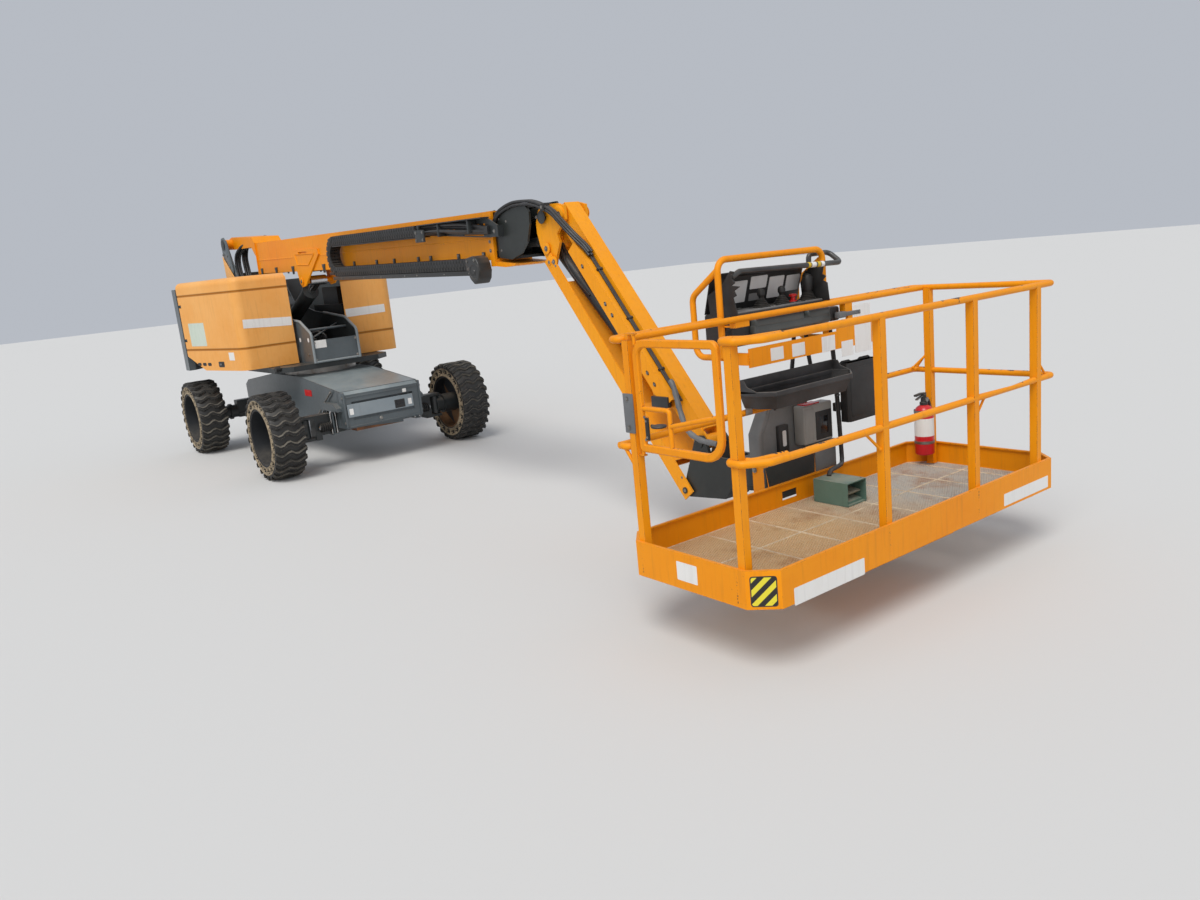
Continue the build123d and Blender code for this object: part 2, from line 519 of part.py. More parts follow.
# Jib head: casting with the two lower pins and the rotator seat
head = [shift(UP_END, (-46, 14)), shift(UP_END, (-16, 46)), shift(UP_END, (20, 46)), shift(UP_END, (50, 10)), (6300, 598),
        (6440, 592), (6470, 570), (6470, 420),
        (6410, 345), shift(LOW_END, (20, -42)), shift(LOW_END, (-30, -38)), shift(LOW_END, (-44, 0)), shift(LOW_END, (-20, 40))]
with BuildPart() as jib_head:
    for side in (-1, 1):
        plate_xz(head, *sorted((side * 76, side * 98)))
    slab(6448, 6470, -76, 76, 420, 570)
    plate_xz([(6150, 322), (6410, 345), (6470, 420), (6448, 420), (6400, 365), (6160, 340)], -76, 76)
    pin_y(*UP_END, 25, -104, 104)
    pin_y(*LOW_END, 20, -124, 124)
    # seat of the rotator
    slab(6470, 6540, -90, 90, 430, 455)
    slab(6470, 6540, -90, 90, 565, 590)
    bar((ROTATE_X, 0, 425), (ROTATE_X, 0, 455), 90)
    bar((ROTATE_X, 0, 565), (ROTATE_X, 0, 595), 90)
    bar((ROTATE_X, 0, 420), (ROTATE_X, 0, 600), 30)
save("jib_head", jib_head)

# Rotator: the drum between the seats and the bracket that carries the platform
with BuildPart() as rotator:
    bar((ROTATE_X, 0, 455.3), (ROTATE_X, 0, 564.7), 88)
    bar((ROTATE_X, 0, 400), (ROTATE_X, 0, 700), 30.5, Mode.SUBTRACT)
    slab(ROTATE_X + 60, 6815, -70, 90, 470, 550)
    for y in (-144, 229):
        plate_xz([(6690, 400), (6815, 380), (6815, 600), (6740, 600), (6690, 560)], y - 6, y + 6)
    slab(6690, 6700, -150, 235, 470, 550)
    slab(6803, 6815, -180, 235, 400, 600)
save("rotator", rotator)

with BuildPart() as rotator_cover:
    plate_yz([(-110, 606), (340, 606), (340, 760), (280, 905), (-20, 905), (-110, 760)], 6630, 6722)
    plate_yz([(-106, 605), (336, 605), (336, 759), (278, 900), (-18, 900), (-106, 759)], 6634, 6718, Mode.SUBTRACT)
    # load box on the platform's rear board, with the strap that holds the cover to it
    slab(6735, 6815, 245, 430, 470, 885)
    slab(6718, 6736, 250, 330, 620, 720)
    slab(6718, 6815, -60, 20, 620, 632)
save("rotator_cover", rotator_cover)


# Platform tray: folded toe-board all round, octagonal
def octagon(t):
    hx, hy = PL_W / 2 - t, PL_L / 2 - t
    cx, cy = PL_CHX - 0.45 * t, PL_CHY - 0.45 * t
    return [(PL_X - hx + cx, -hy), (PL_X + hx - cx, -hy), (PL_X + hx, -hy + cy), (PL_X + hx, hy - cy), (PL_X + hx - cx, hy),
            (PL_X - hx + cx, hy), (PL_X - hx, hy - cy), (PL_X - hx, -hy + cy)]


with BuildPart() as platform_tray:
    plate_xy(octagon(0), PL_Z, PL_Z + TOE)
    plate_xy(octagon(4), PL_Z + 4, PL_Z + TOE + 1, Mode.SUBTRACT)
    plate_xy(octagon(45), PL_Z - 1, PL_Z + TOE + 1, Mode.SUBTRACT)
    # folded lip round the top
    plate_xy(octagon(0), PL_Z + TOE - 8, PL_Z + TOE)
    plate_xy(octagon(16), PL_Z + TOE - 9, PL_Z + TOE + 1, Mode.SUBTRACT)
    # cross members under the floor
    for y in (-900, -520, 0, 520, 900):
        slab(PL_X - PL_W / 2 + 2, PL_X + PL_W / 2 - 2, y - 20, y + 20, PL_Z - 2, PL_Z + 26)
    slab(PL_X - 30, PL_X + PL_W / 2 - 60, -560, 240, PL_Z - 40, PL_Z - 2)
    # oval hand slot in the rear board
    slab(PL_X - PL_W / 2 - 1, PL_X - PL_W / 2 + 5, -60, 60, PL_Z + 70, PL_Z + 120, Mode.SUBTRACT)
save("platform_tray", platform_tray)

with BuildPart() as platform_floor:
    plate_xy(octagon(8), PL_Z + 26, PL_Z + 38)
save("platform_floor", platform_floor)

# Posts, top and mid rails
PL_Y = PL_L / 2         # the tray's end
END_POST = PL_Y - 37
POSTS = (  # x, y
    (6955, -END_POST), (7595, -END_POST), (7698, -345), (7698, 400), (7698, PL_Y - 200), (6955, END_POST),
)
INNER_X = 6918
GATE_PIN = (7000, -END_POST)
FRONT_X, REAR_X, SIDE_Y = PL_X + PL_W / 2 - 32, PL_X - PL_W / 2 + 32, PL_Y - 32
LEG_X, LEG_Y = 6830, (-452, 365)   # the console guard's front legs
END_Y = 20 - PL_Y                  # the rails' looped ends
with BuildPart() as platform_rails:
    for x, y in POSTS:
        slab(x - POST / 2, x + POST / 2, y - POST / 2, y + POST / 2, PL_Z + 38, RAIL_Z - 2)
    # front rails: from a loop round the gate post, along the front and the left side
    for z, stop in ((RAIL_Z, (REAR_X, LEG_Y[1] + RAIL_R + 0.3, RAIL_Z)), (MID_Z, (REAR_X, END_Y, MID_Z))):
        tube([(7672, 250 - PL_Y, z), (7640, 80 - PL_Y, z), (7590, 68 - PL_Y, z)], RAIL_R, 40)
        tube([(7590, 68 - PL_Y, z), (7556, 68 - PL_Y, z), (7556, 18 - PL_Y, z), (7628, 18 - PL_Y, z), (FRONT_X, 115 - PL_Y, z), (FRONT_X, SIDE_Y, z),
              (REAR_X, SIDE_Y, z), stop], RAIL_R, 24)
    # rear top rail: an outer and an inner tube, joined round the gate's other post; the outer one stops at the console guard
    tube([(REAR_X, LEG_Y[0] - RAIL_R - 0.3, RAIL_Z), (REAR_X, END_Y, RAIL_Z), (INNER_X, END_Y, RAIL_Z), (INNER_X, PL_Y - 42, RAIL_Z)], RAIL_R, 34)
    tube([(REAR_X, 90 - PL_Y, MID_Z), (REAR_X, END_Y - 0.5, MID_Z), (INNER_X, END_Y - 0.5, MID_Z), (INNER_X, 100 - PL_Y, MID_Z)], RAIL_R - 0.5, 34)
    bar((6890, 22 - PL_Y, MID_Z - 12), (6936, 32 - PL_Y, MID_Z - 90), 9)
    # folded brackets under the inner tube
    slab(6890, INNER_X + 10, -452, -348, 1398, 1430)
    slab(6890, INNER_X + 10, 418, 482, 1380, 1430)
    # gate hinge lugs and their pins
    for z, w in ((905, 912), (1462, 1469)):
        slab(6950, 7012, GATE_PIN[1] - 10, GATE_PIN[1] + 10, z, w)
    slab(6950, 6971, GATE_PIN[1] - 10, GATE_PIN[1] + 10, 1438, 1469)
    bar((GATE_PIN[0], GATE_PIN[1], 905), (GATE_PIN[0], GATE_PIN[1], 960), 8)
    bar((GATE_PIN[0], GATE_PIN[1], 1415), (GATE_PIN[0], GATE_PIN[1], 1469), 8)
save("platform_rails", platform_rails)

# Entry gate in the right-hand end: a frame of square tube with rounded corners, and its latch bars
GATE = (6988, 7530, 925, 1442)
with BuildPart() as gate:
    gx0, gx1, gz0, gz1 = GATE
    for inset, mode in ((0, Mode.ADD), (37, Mode.SUBTRACT)):
        with BuildSketch(Plane.XZ.offset(-GATE_PIN[1] - 13)) as sk:
            with BuildLine():
                Polyline((gx0 + inset, gz0 + inset), (gx1 - inset, gz0 + inset), (gx1 - inset, gz1 - inset), (gx0 + inset, gz1 - inset), close=True)
            make_face()
            for fx, fz, r in ((gx0, gz0, 26), (gx1, gz0, 105), (gx1, gz1, 14), (gx0, gz1, 66)):
                fillet([v for v in sk.vertices() if abs(v.X - fx) < 40 and abs(v.Z - fz) < 40], max(r - inset, 4))
        extrude(sk.sketch, amount=26, mode=mode)
    bar((gx0 + 20, GATE_PIN[1], 1126), (7196, GATE_PIN[1], 1128), 11)
    bar((7196, GATE_PIN[1], 1137), (7204, GATE_PIN[1], 950), 11)
    bar((7200, GATE_PIN[1], 1058), (gx1 - 20, GATE_PIN[1], 1124), 11)
    slab(gx0 + 37, gx0 + 60, GATE_PIN[1] - 8, GATE_PIN[1] + 8, 985, 1090)
    bar((GATE_PIN[0], GATE_PIN[1], MID_Z - 30), (GATE_PIN[0], GATE_PIN[1], RAIL_Z + 30), 8.2, Mode.SUBTRACT)
save("gate", gate)

# Console outside the rear rail: its box, the pad before it, side plates, the raised lid, joysticks and a padded bar
with BuildPart() as console:
    slab(6650, 6852, -398, 341, 1290, 1465)
    slab(6850, 6899, -275, 340, 1336, 1426)
    slab(6850, 6899, 339, 415, 1336, 1417)
    for side_y, plate in ((-398, [(6700, 1460), (6690, 1560), (6800, 1612), (6862, 1680), (6890, 1676), (6880, 1629), (6930, 1600), (6895, 1560), (6899, 1460)]),
                          (335, [(6700, 1460), (6690, 1560), (6762, 1650), (6790, 1665), (6860, 1640), (6880, 1560), (6890, 1460)])):
        plate_xz(plate, side_y, side_y + 6)
    plate_xz([(6650, 1460), (6658, 1460), (6714, 1640), (6800, 1664), (6798, 1671), (6708, 1647)], -398, 341)
    for y, r, top in ((-93, 21, 1566), (70, 21, 1564), (285, 31, 1609)):
        bar((6780, y, 1460), (6780, y, 1492), 46)
        bar((6780, y, 1490), (6780, y, top), r)
    tube([(6872, -395, 1650), (6872, -340, 1672), (6872, 472, 1652), (6788, 472, 1712), (6788, 300, 1712), (6788, 300, 1660)], 18, 30)
    for side_y in ((-434.7, -397), (340, 347.7)):
        slab(6815, 6845, *side_y, 1380, 1420)
save("console", console)

with BuildPart() as console_guard:
    tube([(LEG_X, LEG_Y[0], 1246), (LEG_X, LEG_Y[0], 1740), (LEG_X, LEG_Y[1], 1736), (LEG_X, LEG_Y[1], 1246)], RAIL_R, 60)
    for y in LEG_Y:
        tube([(LEG_X, y, 1690), (6634, y, 1560), (6634, y, 1247), (LEG_X, y, 1247)], RAIL_R - 0.5, 60)
    # front plate below the rail, its arms and the panel that goes on to the left
    slab(6930, 6938, -375, 640, 1186, 1284)
    slab(6930, 6938, 330, 640, 1280, 1340)
    for y in (-385, 355):
        slab(LEG_X - 4, 6934, y, y + 20, 1200, 1262)
    slab(LEG_X - 8, LEG_X + 8, -452, -366, 1236, 1262)
    slab(LEG_X + 4, 6889.7, -450, -436, 1402, 1410)
    slab(6920, 6938, 430, 470, 1330, 1379.7)
save("console_guard", console_guard)

with BuildPart() as tool_tray:
    def tray(t):
        return [(6866 + t, -397 + t), (6990, -397 + t), (7080 - t, -346 + t * 0.6), (7080 - t, 262 - t * 0.6), (6990, 366 - t), (6866 + t, 366 - t)]
    plate_xy(tray(0), 972, 1068)
    plate_xy(tray(4), 976, 1069, Mode.SUBTRACT)
    plate_xz([(6866, 972), (6990, 972), (6990, 1068), (6930, 1122), (6866, 1122)], -397, -393)
    slab(6866, 6870, -397, 366, 972, 1122)
    for y in (-330, 300):
        slab(6864, 6870, y - 25, y + 25, 930, 1000)
save("tool_tray", tool_tray)

with BuildPart() as document_box:
    slab(6864, 6924, 425, 710, 750, 1100)
    slab(6868, 6920, 429, 706, 754, 1101, Mode.SUBTRACT)
save("document_box", document_box)

with BuildPart() as foot_pedal:
    slab(6900, 7130, 110, 275, PL_Z + 38, PL_Z + 168)
    slab(6906, 7131, 116, 269, PL_Z + 44, PL_Z + 162, Mode.SUBTRACT)
    plate_xz([(6906, PL_Z + 44), (7110, PL_Z + 44), (7110, PL_Z + 56), (6940, PL_Z + 90), (6906, PL_Z + 90)], 125, 260)
save("foot_pedal", foot_pedal)

with BuildPart() as extinguisher:
    ex, ey = 6950, PL_Y - 116
    bar((ex, ey, 430), (ex, ey, 740), 58)
    bar((ex, ey, 740), (ex, ey, 775), 30)
    bar((ex, ey, 775), (ex, ey, 810), 16)
    slab(ex - 12, ex + 12, ey - 90, ey + 20, 800, 814)
save("extinguisher", extinguisher)
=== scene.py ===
import bmesh
import bpy
from math import cos, hypot, pi, radians, sin, tan
from mathutils import Matrix, Vector


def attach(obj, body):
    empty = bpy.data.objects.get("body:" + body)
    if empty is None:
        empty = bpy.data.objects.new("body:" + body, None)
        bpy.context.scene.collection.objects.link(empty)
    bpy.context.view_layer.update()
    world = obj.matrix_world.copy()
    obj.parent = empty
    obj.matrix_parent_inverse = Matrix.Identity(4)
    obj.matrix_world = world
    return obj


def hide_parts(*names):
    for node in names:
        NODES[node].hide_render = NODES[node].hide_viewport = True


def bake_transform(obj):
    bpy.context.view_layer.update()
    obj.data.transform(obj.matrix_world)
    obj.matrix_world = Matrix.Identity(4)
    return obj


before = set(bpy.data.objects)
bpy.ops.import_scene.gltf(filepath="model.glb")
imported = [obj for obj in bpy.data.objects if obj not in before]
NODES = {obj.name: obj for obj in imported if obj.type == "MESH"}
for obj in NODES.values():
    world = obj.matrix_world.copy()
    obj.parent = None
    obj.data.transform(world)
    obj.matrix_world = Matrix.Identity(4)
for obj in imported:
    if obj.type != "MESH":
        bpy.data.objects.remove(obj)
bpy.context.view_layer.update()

# Metres. Places below are from the ground under the turret axis, and OX moves them to the row frame.
OX = 2.885
BOOM_A, BOOM_Z = radians(1.45), 2.141    # the boom's slope, and its middle line's height over the ground at the turret axis
PIVOT, LIFT_EYE = (-1.88, 2.385), (0.33, 1.85)
KNUCKLE_PIN, JIB_UP_PIN, JIB_LOW_PIN = (4.85, 2.11), (5.031, 2.11), (4.892, 1.805)
ARM_RUN, ARM_DROP, ARM_TURN = 1.194, 1.447, radians(50.5)    # a jib arm from its upper pin to its lower end
AHEAD, RIGHTWARD, UP = (1, 0, 0), (0, -1, 0), (0, 0, 1)
HOOD_GROOVES = (1.82, 1.222)


def boom_xz(u, v):
    """The (x, z) of a point u along the boom's middle line and v above it."""
    return (u * cos(BOOM_A) + v * sin(BOOM_A), BOOM_Z - u * sin(BOOM_A) + v * cos(BOOM_A))


def along(p, q, t, off=0.0):
    """The point t along the line from p to q, and off to its left."""
    n = hypot(q[0] - p[0], q[1] - p[1])
    c, s = (q[0] - p[0]) / n, (q[1] - p[1]) / n
    return (p[0] + c * t - s * off, p[1] + s * t + c * off)


# Camera, as fitted to the photo
CAM_X, CAM_Y, CAM_Z, LENS = 10.208, -3.814, 1.83, 27.742
yaw, pitch, roll = radians(143.296), radians(11.939), radians(5.753)
fwd = Vector((cos(yaw) * cos(pitch), sin(yaw) * cos(pitch), -sin(pitch)))
right0 = Vector((sin(yaw), -cos(yaw), 0))
down0 = fwd.cross(right0)
right = cos(roll) * right0 + sin(roll) * down0
down = -sin(roll) * right0 + cos(roll) * down0
cam_data = bpy.data.cameras.new("camera")
cam_data.sensor_width = 36
cam_data.lens = LENS
cam_data.clip_end = 200
cam = bpy.data.objects.new("camera", cam_data)
bpy.context.scene.collection.objects.link(cam)
cam.matrix_world = Matrix(((right.x, -down.x, -fwd.x, CAM_X - OX), (right.y, -down.y, -fwd.y, CAM_Y),
                           (right.z, -down.z, -fwd.z, CAM_Z), (0, 0, 0, 1)))
bpy.context.scene.camera = cam

# ---------------------------------------------------------------- materials


class Nodes:
    """A short way to write a node tree: n.add(type, socket=value or (node, output), ...)."""

    def __init__(self, name):
        self.mat = bpy.data.materials.new(name)
        self.mat.use_nodes = True
        self.nt = self.mat.node_tree
        self.bsdf = self.nt.nodes["Principled BSDF"]
        self.tc = self.nt.nodes.new("ShaderNodeTexCoord")

    def put(self, socket, value):
        if isinstance(value, tuple) and len(value) == 2 and hasattr(value[0], "outputs"):
            self.nt.links.new(value[0].outputs[value[1]], socket)
        elif hasattr(value, "outputs"):
            self.nt.links.new(value.outputs[0], socket)
        elif isinstance(value, (tuple, list)) and len(value) == 3 and socket.type == "RGBA":
            socket.default_value = (*value, 1)
        else:
            socket.default_value = value

    def add(self, kind, props=None, **inputs):
        node = self.nt.nodes.new("ShaderNode" + kind)
        for k, v in (props or {}).items():
            setattr(node, k, v)
        for k, v in inputs.items():
            key = int(k[1:]) if k[0] == "i" and k[1:].isdigit() else k.replace("_", " ")
            self.put(node.inputs[key], v)
        return node

    def noise(self, scale, detail=3.0, rough=0.55, stretch=None, dist=0.0):
        vec = (self.tc, "Object")
        if stretch:
            vec = self.add("Mapping", Vector=(self.tc, "Object"), Scale=stretch)
        return self.add("TexNoise", Vector=vec, Scale=scale, Detail=detail, Roughness=rough, Distortion=dist)

    def ramp(self, value, low, high, to=(0.0, 1.0)):
        return self.add("MapRange", {"clamp": True}, Value=value, From_Min=low, From_Max=high, To_Min=to[0], To_Max=to[1])

    def math(self, op, a, b=0.5):
        return self.add("Math", {"operation": op, "use_clamp": False}, i0=a, i1=b)
    def mul(self, a, b):
        return self.math("MULTIPLY", a, b)

    def plus(self, a, b):
        return self.math("ADD", a, b)

    def mix(self, fac, a, b):
        node = self.nt.nodes.new("ShaderNodeMix")
        node.data_type = "RGBA"
        self.put(node.inputs[0], fac)
        self.put(node.inputs[6], a)
        self.put(node.inputs[7], b)
        return (node, 2)

    def edge(self, radius, low=0.55, high=0.97):
        bevel = self.add("Bevel", {"samples": 4}, Radius=radius)
        geo = self.add("NewGeometry")
        dot = self.add("VectorMath", {"operation": "DOT_PRODUCT"}, i0=(bevel, 0), i1=(geo, "Normal"))
        return self.ramp((dot, 1), high, low)

    def up(self, low=0.35, high=0.95):
        geo = self.add("NewGeometry")
        sep = self.add("SeparateXYZ", Vector=(geo, "Normal"))
        return self.ramp((sep, 2), low, high)

    def finish(self, color, rough, bump=None, strength=0.2, distance=0.001, metallic=0.0, **plain):
        self.put(self.bsdf.inputs["Base Color"], color)
        self.put(self.bsdf.inputs["Roughness"], rough)
        self.put(self.bsdf.inputs["Metallic"], metallic)
        for k, v in plain.items():
            self.bsdf.inputs[k.replace("_", " ")].default_value = v
        if bump is not None:
            node = self.add("Bump", Height=bump, Strength=strength, Distance=distance)
            self.put(self.bsdf.inputs["Normal"], node)
        return self.mat


def paint(name, base, faded, chip=(0.045, 0.038, 0.034), wear=0.5, dust=0.3, rough=0.42, dust_color=(0.42, 0.36, 0.28), grime=0.3, coat=0.0,
          shine=0.5, speck_size=46, rub=0.0, bands=()):
    """Enamel on steel: faded in clouds, chipped to primer along its edges, dust on top faces and grime in streaks.
    rub is how much more of the top faces is worn through; bands are the heights of grooves, each darkened in a band as
    painted shade."""
    n = Nodes(name)
    cloud = n.ramp(n.noise(1.3, 4, 0.6), 0.35, 0.68)
    fine = n.ramp(n.noise(22, 5, 0.6), 0.35, 0.75, (0.0, 0.3))
    color = n.mix(n.mul(cloud, 0.8), base, faded)
    color = n.mix(fine, color, faded)
    streak = n.ramp(n.noise(5, 6, 0.65, stretch=(9, 9, 0.7)), 0.52, 0.8, (0.0, grime))
    color = n.mix(streak, color, tuple(c * 0.42 + 0.02 for c in base))
    speck = n.noise(speck_size, 6, 0.72, dist=0.6)
    edge = n.mul(n.edge(0.007), 0.22 * wear + 0.03)
    scuff = n.mul(n.ramp(n.noise(3.1, 3, 0.5), 0.5, 0.72), 0.07 * wear)
    level = n.plus(n.plus(speck, edge), scuff)
    if rub:
        level = n.plus(level, n.mul(n.up(0.55, 0.95), n.ramp(n.noise(2.6, 3), 0.44, 0.6, (0.0, rub))))
    chips = n.ramp(level, 0.735, 0.75)
    color = n.mix(chips, color, chip)
    rust = n.mul(n.ramp(level, 0.725, 0.738), n.ramp(n.noise(7, 2), 0.5, 0.6))
    color = n.mix(n.mul(rust, 0.5), color, (0.18, 0.07, 0.03))
    dirt = n.mul(n.mul(n.up(), n.ramp(n.noise(9, 6, 0.7), 0.3, 0.75)), dust)
    color = n.mix(dirt, color, dust_color)
    # painted shade: a band of darker base colour at each groove's height
    for z in bands:
        sep = n.add("SeparateXYZ", Vector=(n.tc, "Object"))
        away = n.math("ABSOLUTE", n.math("SUBTRACT", (sep, 2), z))
        color = n.mix(n.ramp(away, 0.0155, 0.0105, (0.0, 0.85)), color, tuple(c * 0.45 for c in base))
    roughness = n.plus(n.mul(n.noise(30, 4), 0.16), n.plus(n.mul(dirt, 0.3), rough - 0.08))
    height = n.math("SUBTRACT", n.mul(n.noise(260, 2), 0.1), n.mul(chips, 0.8))
    return n.finish(color, roughness, height, 0.35, 0.0009, Coat_Weight=coat, Coat_Roughness=0.25, Specular_IOR_Level=shine)


def plastic(name, base, light, rough=0.55, dust=0.35, grain=420.0, dust_color=(0.36, 0.32, 0.26)):
    """Moulded plastic or rubber: lighter in clouds, scratched, dust on top faces; grain is the scale of its texture."""
    n = Nodes(name)
    color = n.mix(n.ramp(n.noise(4, 5, 0.6), 0.35, 0.7), base, light)
    scratch = n.ramp(n.noise(60, 4, 0.6, stretch=(1, 14, 14)), 0.68, 0.76, (0.0, 0.5))
    color = n.mix(scratch, color, tuple(min(1, c * 2.2 + 0.03) for c in light))
    dirt = n.mul(n.mul(n.up(0.1, 0.9), n.ramp(n.noise(13, 6, 0.7), 0.3, 0.8)), dust)
    color = n.mix(dirt, color, dust_color)
    roughness = n.plus(n.mul(n.noise(40, 3), 0.18), rough - 0.09)
    return n.finish(color, roughness, n.noise(grain, 3), 0.18, 0.0006)


def metal(name, base, dark, rough=0.35, rust=0.2, metallic=1.0):
    """Bare metal with darker clouds and rust spots."""
    n = Nodes(name)
    color = n.mix(n.ramp(n.noise(6, 5, 0.65), 0.35, 0.7), base, dark)
    r = n.mul(n.ramp(n.noise(17, 7, 0.72), 0.52, 0.66), rust)
    color = n.mix(r, color, (0.22, 0.085, 0.03))
    roughness = n.plus(n.mul(n.noise(80, 3, 0.6, stretch=(1, 1, 1)), 0.25), n.plus(n.mul(r, 0.4), rough - 0.12))
    metallicness = n.math("SUBTRACT", metallic, n.mul(r, metallic))
    return n.finish(color, roughness, n.noise(150, 4, stretch=(1, 1, 1)), 0.15, 0.0005, metallic=metallicness)


ORANGE = paint("boom_orange", (0.8, 0.255, 0.001), (0.86, 0.315, 0.006), wear=0.8, dust=0.14, shine=0.2)
RAIL = paint("rail_orange", (0.8, 0.262, 0.001), (0.86, 0.325, 0.006), wear=1.35, dust=0.12, shine=0.2, speck_size=25, rub=0.21)
BRIGHT = paint("jib_orange", (0.84, 0.295, 0.002), (0.9, 0.36, 0.012), wear=0.6, dust=0.14, shine=0.2)
HOOD = paint("hood_faded_orange", (0.78, 0.345, 0.075), (0.84, 0.44, 0.14), wear=0.1, dust=0.28, rough=0.5, grime=0.25, shine=0.25,
             bands=HOOD_GROOVES)
# a darker copy of the hood orange: painted shade of the hoods' grooves
GROOVE_SHADE = paint("hood_groove_painted_shade", (0.42, 0.155, 0.02), (0.5, 0.2, 0.035), wear=0.1, dust=0.1, rough=0.6, grime=0.5, shine=0.1)
GREY = paint("chassis_grey", (0.06, 0.074, 0.082), (0.105, 0.127, 0.138), rough=0.36, coat=0.2)
# lighter copy of the chassis grey for its top faces: painted skylight and sheen, with dust on it
TOP_LIT_GREY = paint("chassis_top_painted_light", (0.15, 0.19, 0.205), (0.255, 0.305, 0.32), wear=0.3, dust=0.5, rough=0.3, coat=0.3,
                dust_color=(0.4, 0.42, 0.4))
# lighter copy of the grey paint for the turret's rolled edges: painted highlight
EDGE_HIGHLIGHT = paint("rolled_edge_painted_highlight", (0.185, 0.215, 0.23), (0.26, 0.29, 0.3), wear=0.6, rough=0.34)
DARK = paint("dark_grey", (0.016, 0.019, 0.02), (0.034, 0.039, 0.04), (0.13, 0.12, 0.11), wear=0.4)
NOSE = paint("nose_black", (0.01, 0.012, 0.011), (0.026, 0.03, 0.028), (0.1, 0.1, 0.09), dust=0.25, rough=0.4)
# black rim paint, made darker than the dark grey: its own black plus painted shade inside the tyres
RIM_SHADED = paint("rim_black_painted_shade", (0.01, 0.012, 0.015), (0.022, 0.025, 0.029), (0.2, 0.13, 0.07), wear=0.8, dust=0.25, rough=0.6)
RUSTY = metal("rusty_rim", (0.2, 0.105, 0.045), (0.075, 0.045, 0.025), 0.8, 0.6, metallic=0.1)
BLACK = plastic("black_moulded", (0.012, 0.012, 0.012), (0.03, 0.03, 0.03))
COVER = plastic("grey_moulded", (0.128, 0.133, 0.133), (0.19, 0.196, 0.196), rough=0.6)
TEAL = paint("pedal_green", (0.085, 0.165, 0.13), (0.15, 0.24, 0.2), wear=0.7, dust=0.8)
RED = paint("extinguisher_red", (0.52, 0.006, 0.012), (0.6, 0.02, 0.03), wear=0.1, dust=0.1, rough=0.3)
WHITE = paint("blank_label", (0.72, 0.71, 0.68), (0.8, 0.8, 0.79), (0.3, 0.25, 0.2), wear=0.35, dust=0.2, rough=0.45, grime=0.25)
PALE = paint("blank_plate_pale", (0.5, 0.58, 0.48), (0.6, 0.66, 0.58), wear=0.2, dust=0.2)
STEEL = metal("worn_steel", (0.34, 0.33, 0.31), (0.2, 0.19, 0.18), 0.4, 0.35)
CHROME = metal("chromed_rod", (0.6, 0.6, 0.6), (0.5, 0.5, 0.5), 0.18, 0.05)
SEAM = metal("floor_seam", (0.8, 0.7, 0.52), (0.55, 0.42, 0.28), 0.6, 0.4, metallic=0.1)
BLACK2 = plastic("black_rubber", (0.009, 0.009, 0.009), (0.022, 0.022, 0.022), 0.5, 0.2)
BIN = plastic("black_tray", (0.016, 0.016, 0.017), (0.05, 0.05, 0.052), 0.45, 0.4)
PALEGREY = plastic("pale_panel", (0.6, 0.6, 0.59), (0.76, 0.76, 0.75), 0.45, 0.1)
KEYPAD = plastic("grey_keys", (0.16, 0.16, 0.16), (0.24, 0.24, 0.24), 0.5, 0.2)
CASE = paint("grey_case", (0.265, 0.265, 0.25), (0.335, 0.335, 0.315), (0.2, 0.19, 0.17), wear=0.3, dust=0.15)
WINDOW = plastic("dark_window", (0.006, 0.006, 0.007), (0.012, 0.012, 0.014), 0.15, 0.05)
PAD = plastic("grey_pad", (0.052, 0.06, 0.058), (0.085, 0.095, 0.092), 0.38, 0.12, 900)
YELLOW = plastic("yellow_tape", (0.62, 0.4, 0.01), (0.66, 0.45, 0.03), 0.45, 0.1)
CHAIN = plastic("chain_links", (0.01, 0.01, 0.01), (0.024, 0.024, 0.024), 0.5, 0.2)
TRAYMETAL = paint("chain_tray", (0.018, 0.019, 0.019), (0.038, 0.038, 0.037), (0.14, 0.12, 0.1), wear=0.4, dust=0.25)
PANEL = paint("chassis_panel", (0.185, 0.222, 0.245), (0.25, 0.29, 0.315), (0.12, 0.09, 0.07), wear=0.6, dust=0.2, rough=0.35, coat=0.25)
TREAD = paint("pedal_tread", (0.105, 0.12, 0.082), (0.2, 0.185, 0.125), (0.22, 0.2, 0.16), wear=0.9, dust=0.9, rough=0.6)
HOSE = plastic("black_hose", (0.014, 0.014, 0.015), (0.03, 0.03, 0.032), 0.4, 0.25)
CONDUIT = plastic("grey_conduit", (0.1, 0.105, 0.11), (0.16, 0.165, 0.17), 0.5, 0.3)
BAR = plastic("worn_black_sleeve", (0.02, 0.02, 0.021), (0.075, 0.075, 0.072), 0.35, 0.2, 700)
SKID = metal("rusty_skid", (0.25, 0.105, 0.045), (0.085, 0.055, 0.04), 0.75, 0.5, metallic=0.1)
REDMARK = paint("red_reflector", (0.55, 0.01, 0.01), (0.6, 0.02, 0.02), wear=0.1, dust=0.1, rough=0.2)


def tyre_rubber():
    n = Nodes("tyre_rubber")
    color = n.mix(n.ramp(n.noise(5, 5, 0.6), 0.35, 0.7), (0.007, 0.007, 0.0075), (0.016, 0.016, 0.016))
    dust = n.mul(n.ramp(n.noise(24, 7, 0.75), 0.5, 0.78), n.ramp(n.noise(2.4, 3), 0.3, 0.7, (0.2, 1.0)))
    color = n.mix(n.mul(dust, 0.3), color, (0.175, 0.155, 0.125))
    edge = n.mul(n.edge(0.011, 0.45, 0.93), n.ramp(n.noise(26, 5), 0.34, 0.56))
    color = n.mix(n.mul(edge, 0.85), color, (0.3, 0.275, 0.23))
    return n.finish(color, n.plus(n.mul(n.noise(60, 4), 0.2), 0.7), n.noise(90, 6, 0.7), 0.5, 0.002)


def tan_ring():
    n = Nodes("tyre_dusty_ring")
    color = n.mix(n.ramp(n.noise(26, 6, 0.7), 0.36, 0.6), (0.09, 0.072, 0.05), (0.37, 0.295, 0.195))
    return n.finish(color, 0.9, n.noise(90, 6, 0.7), 0.5, 0.002)


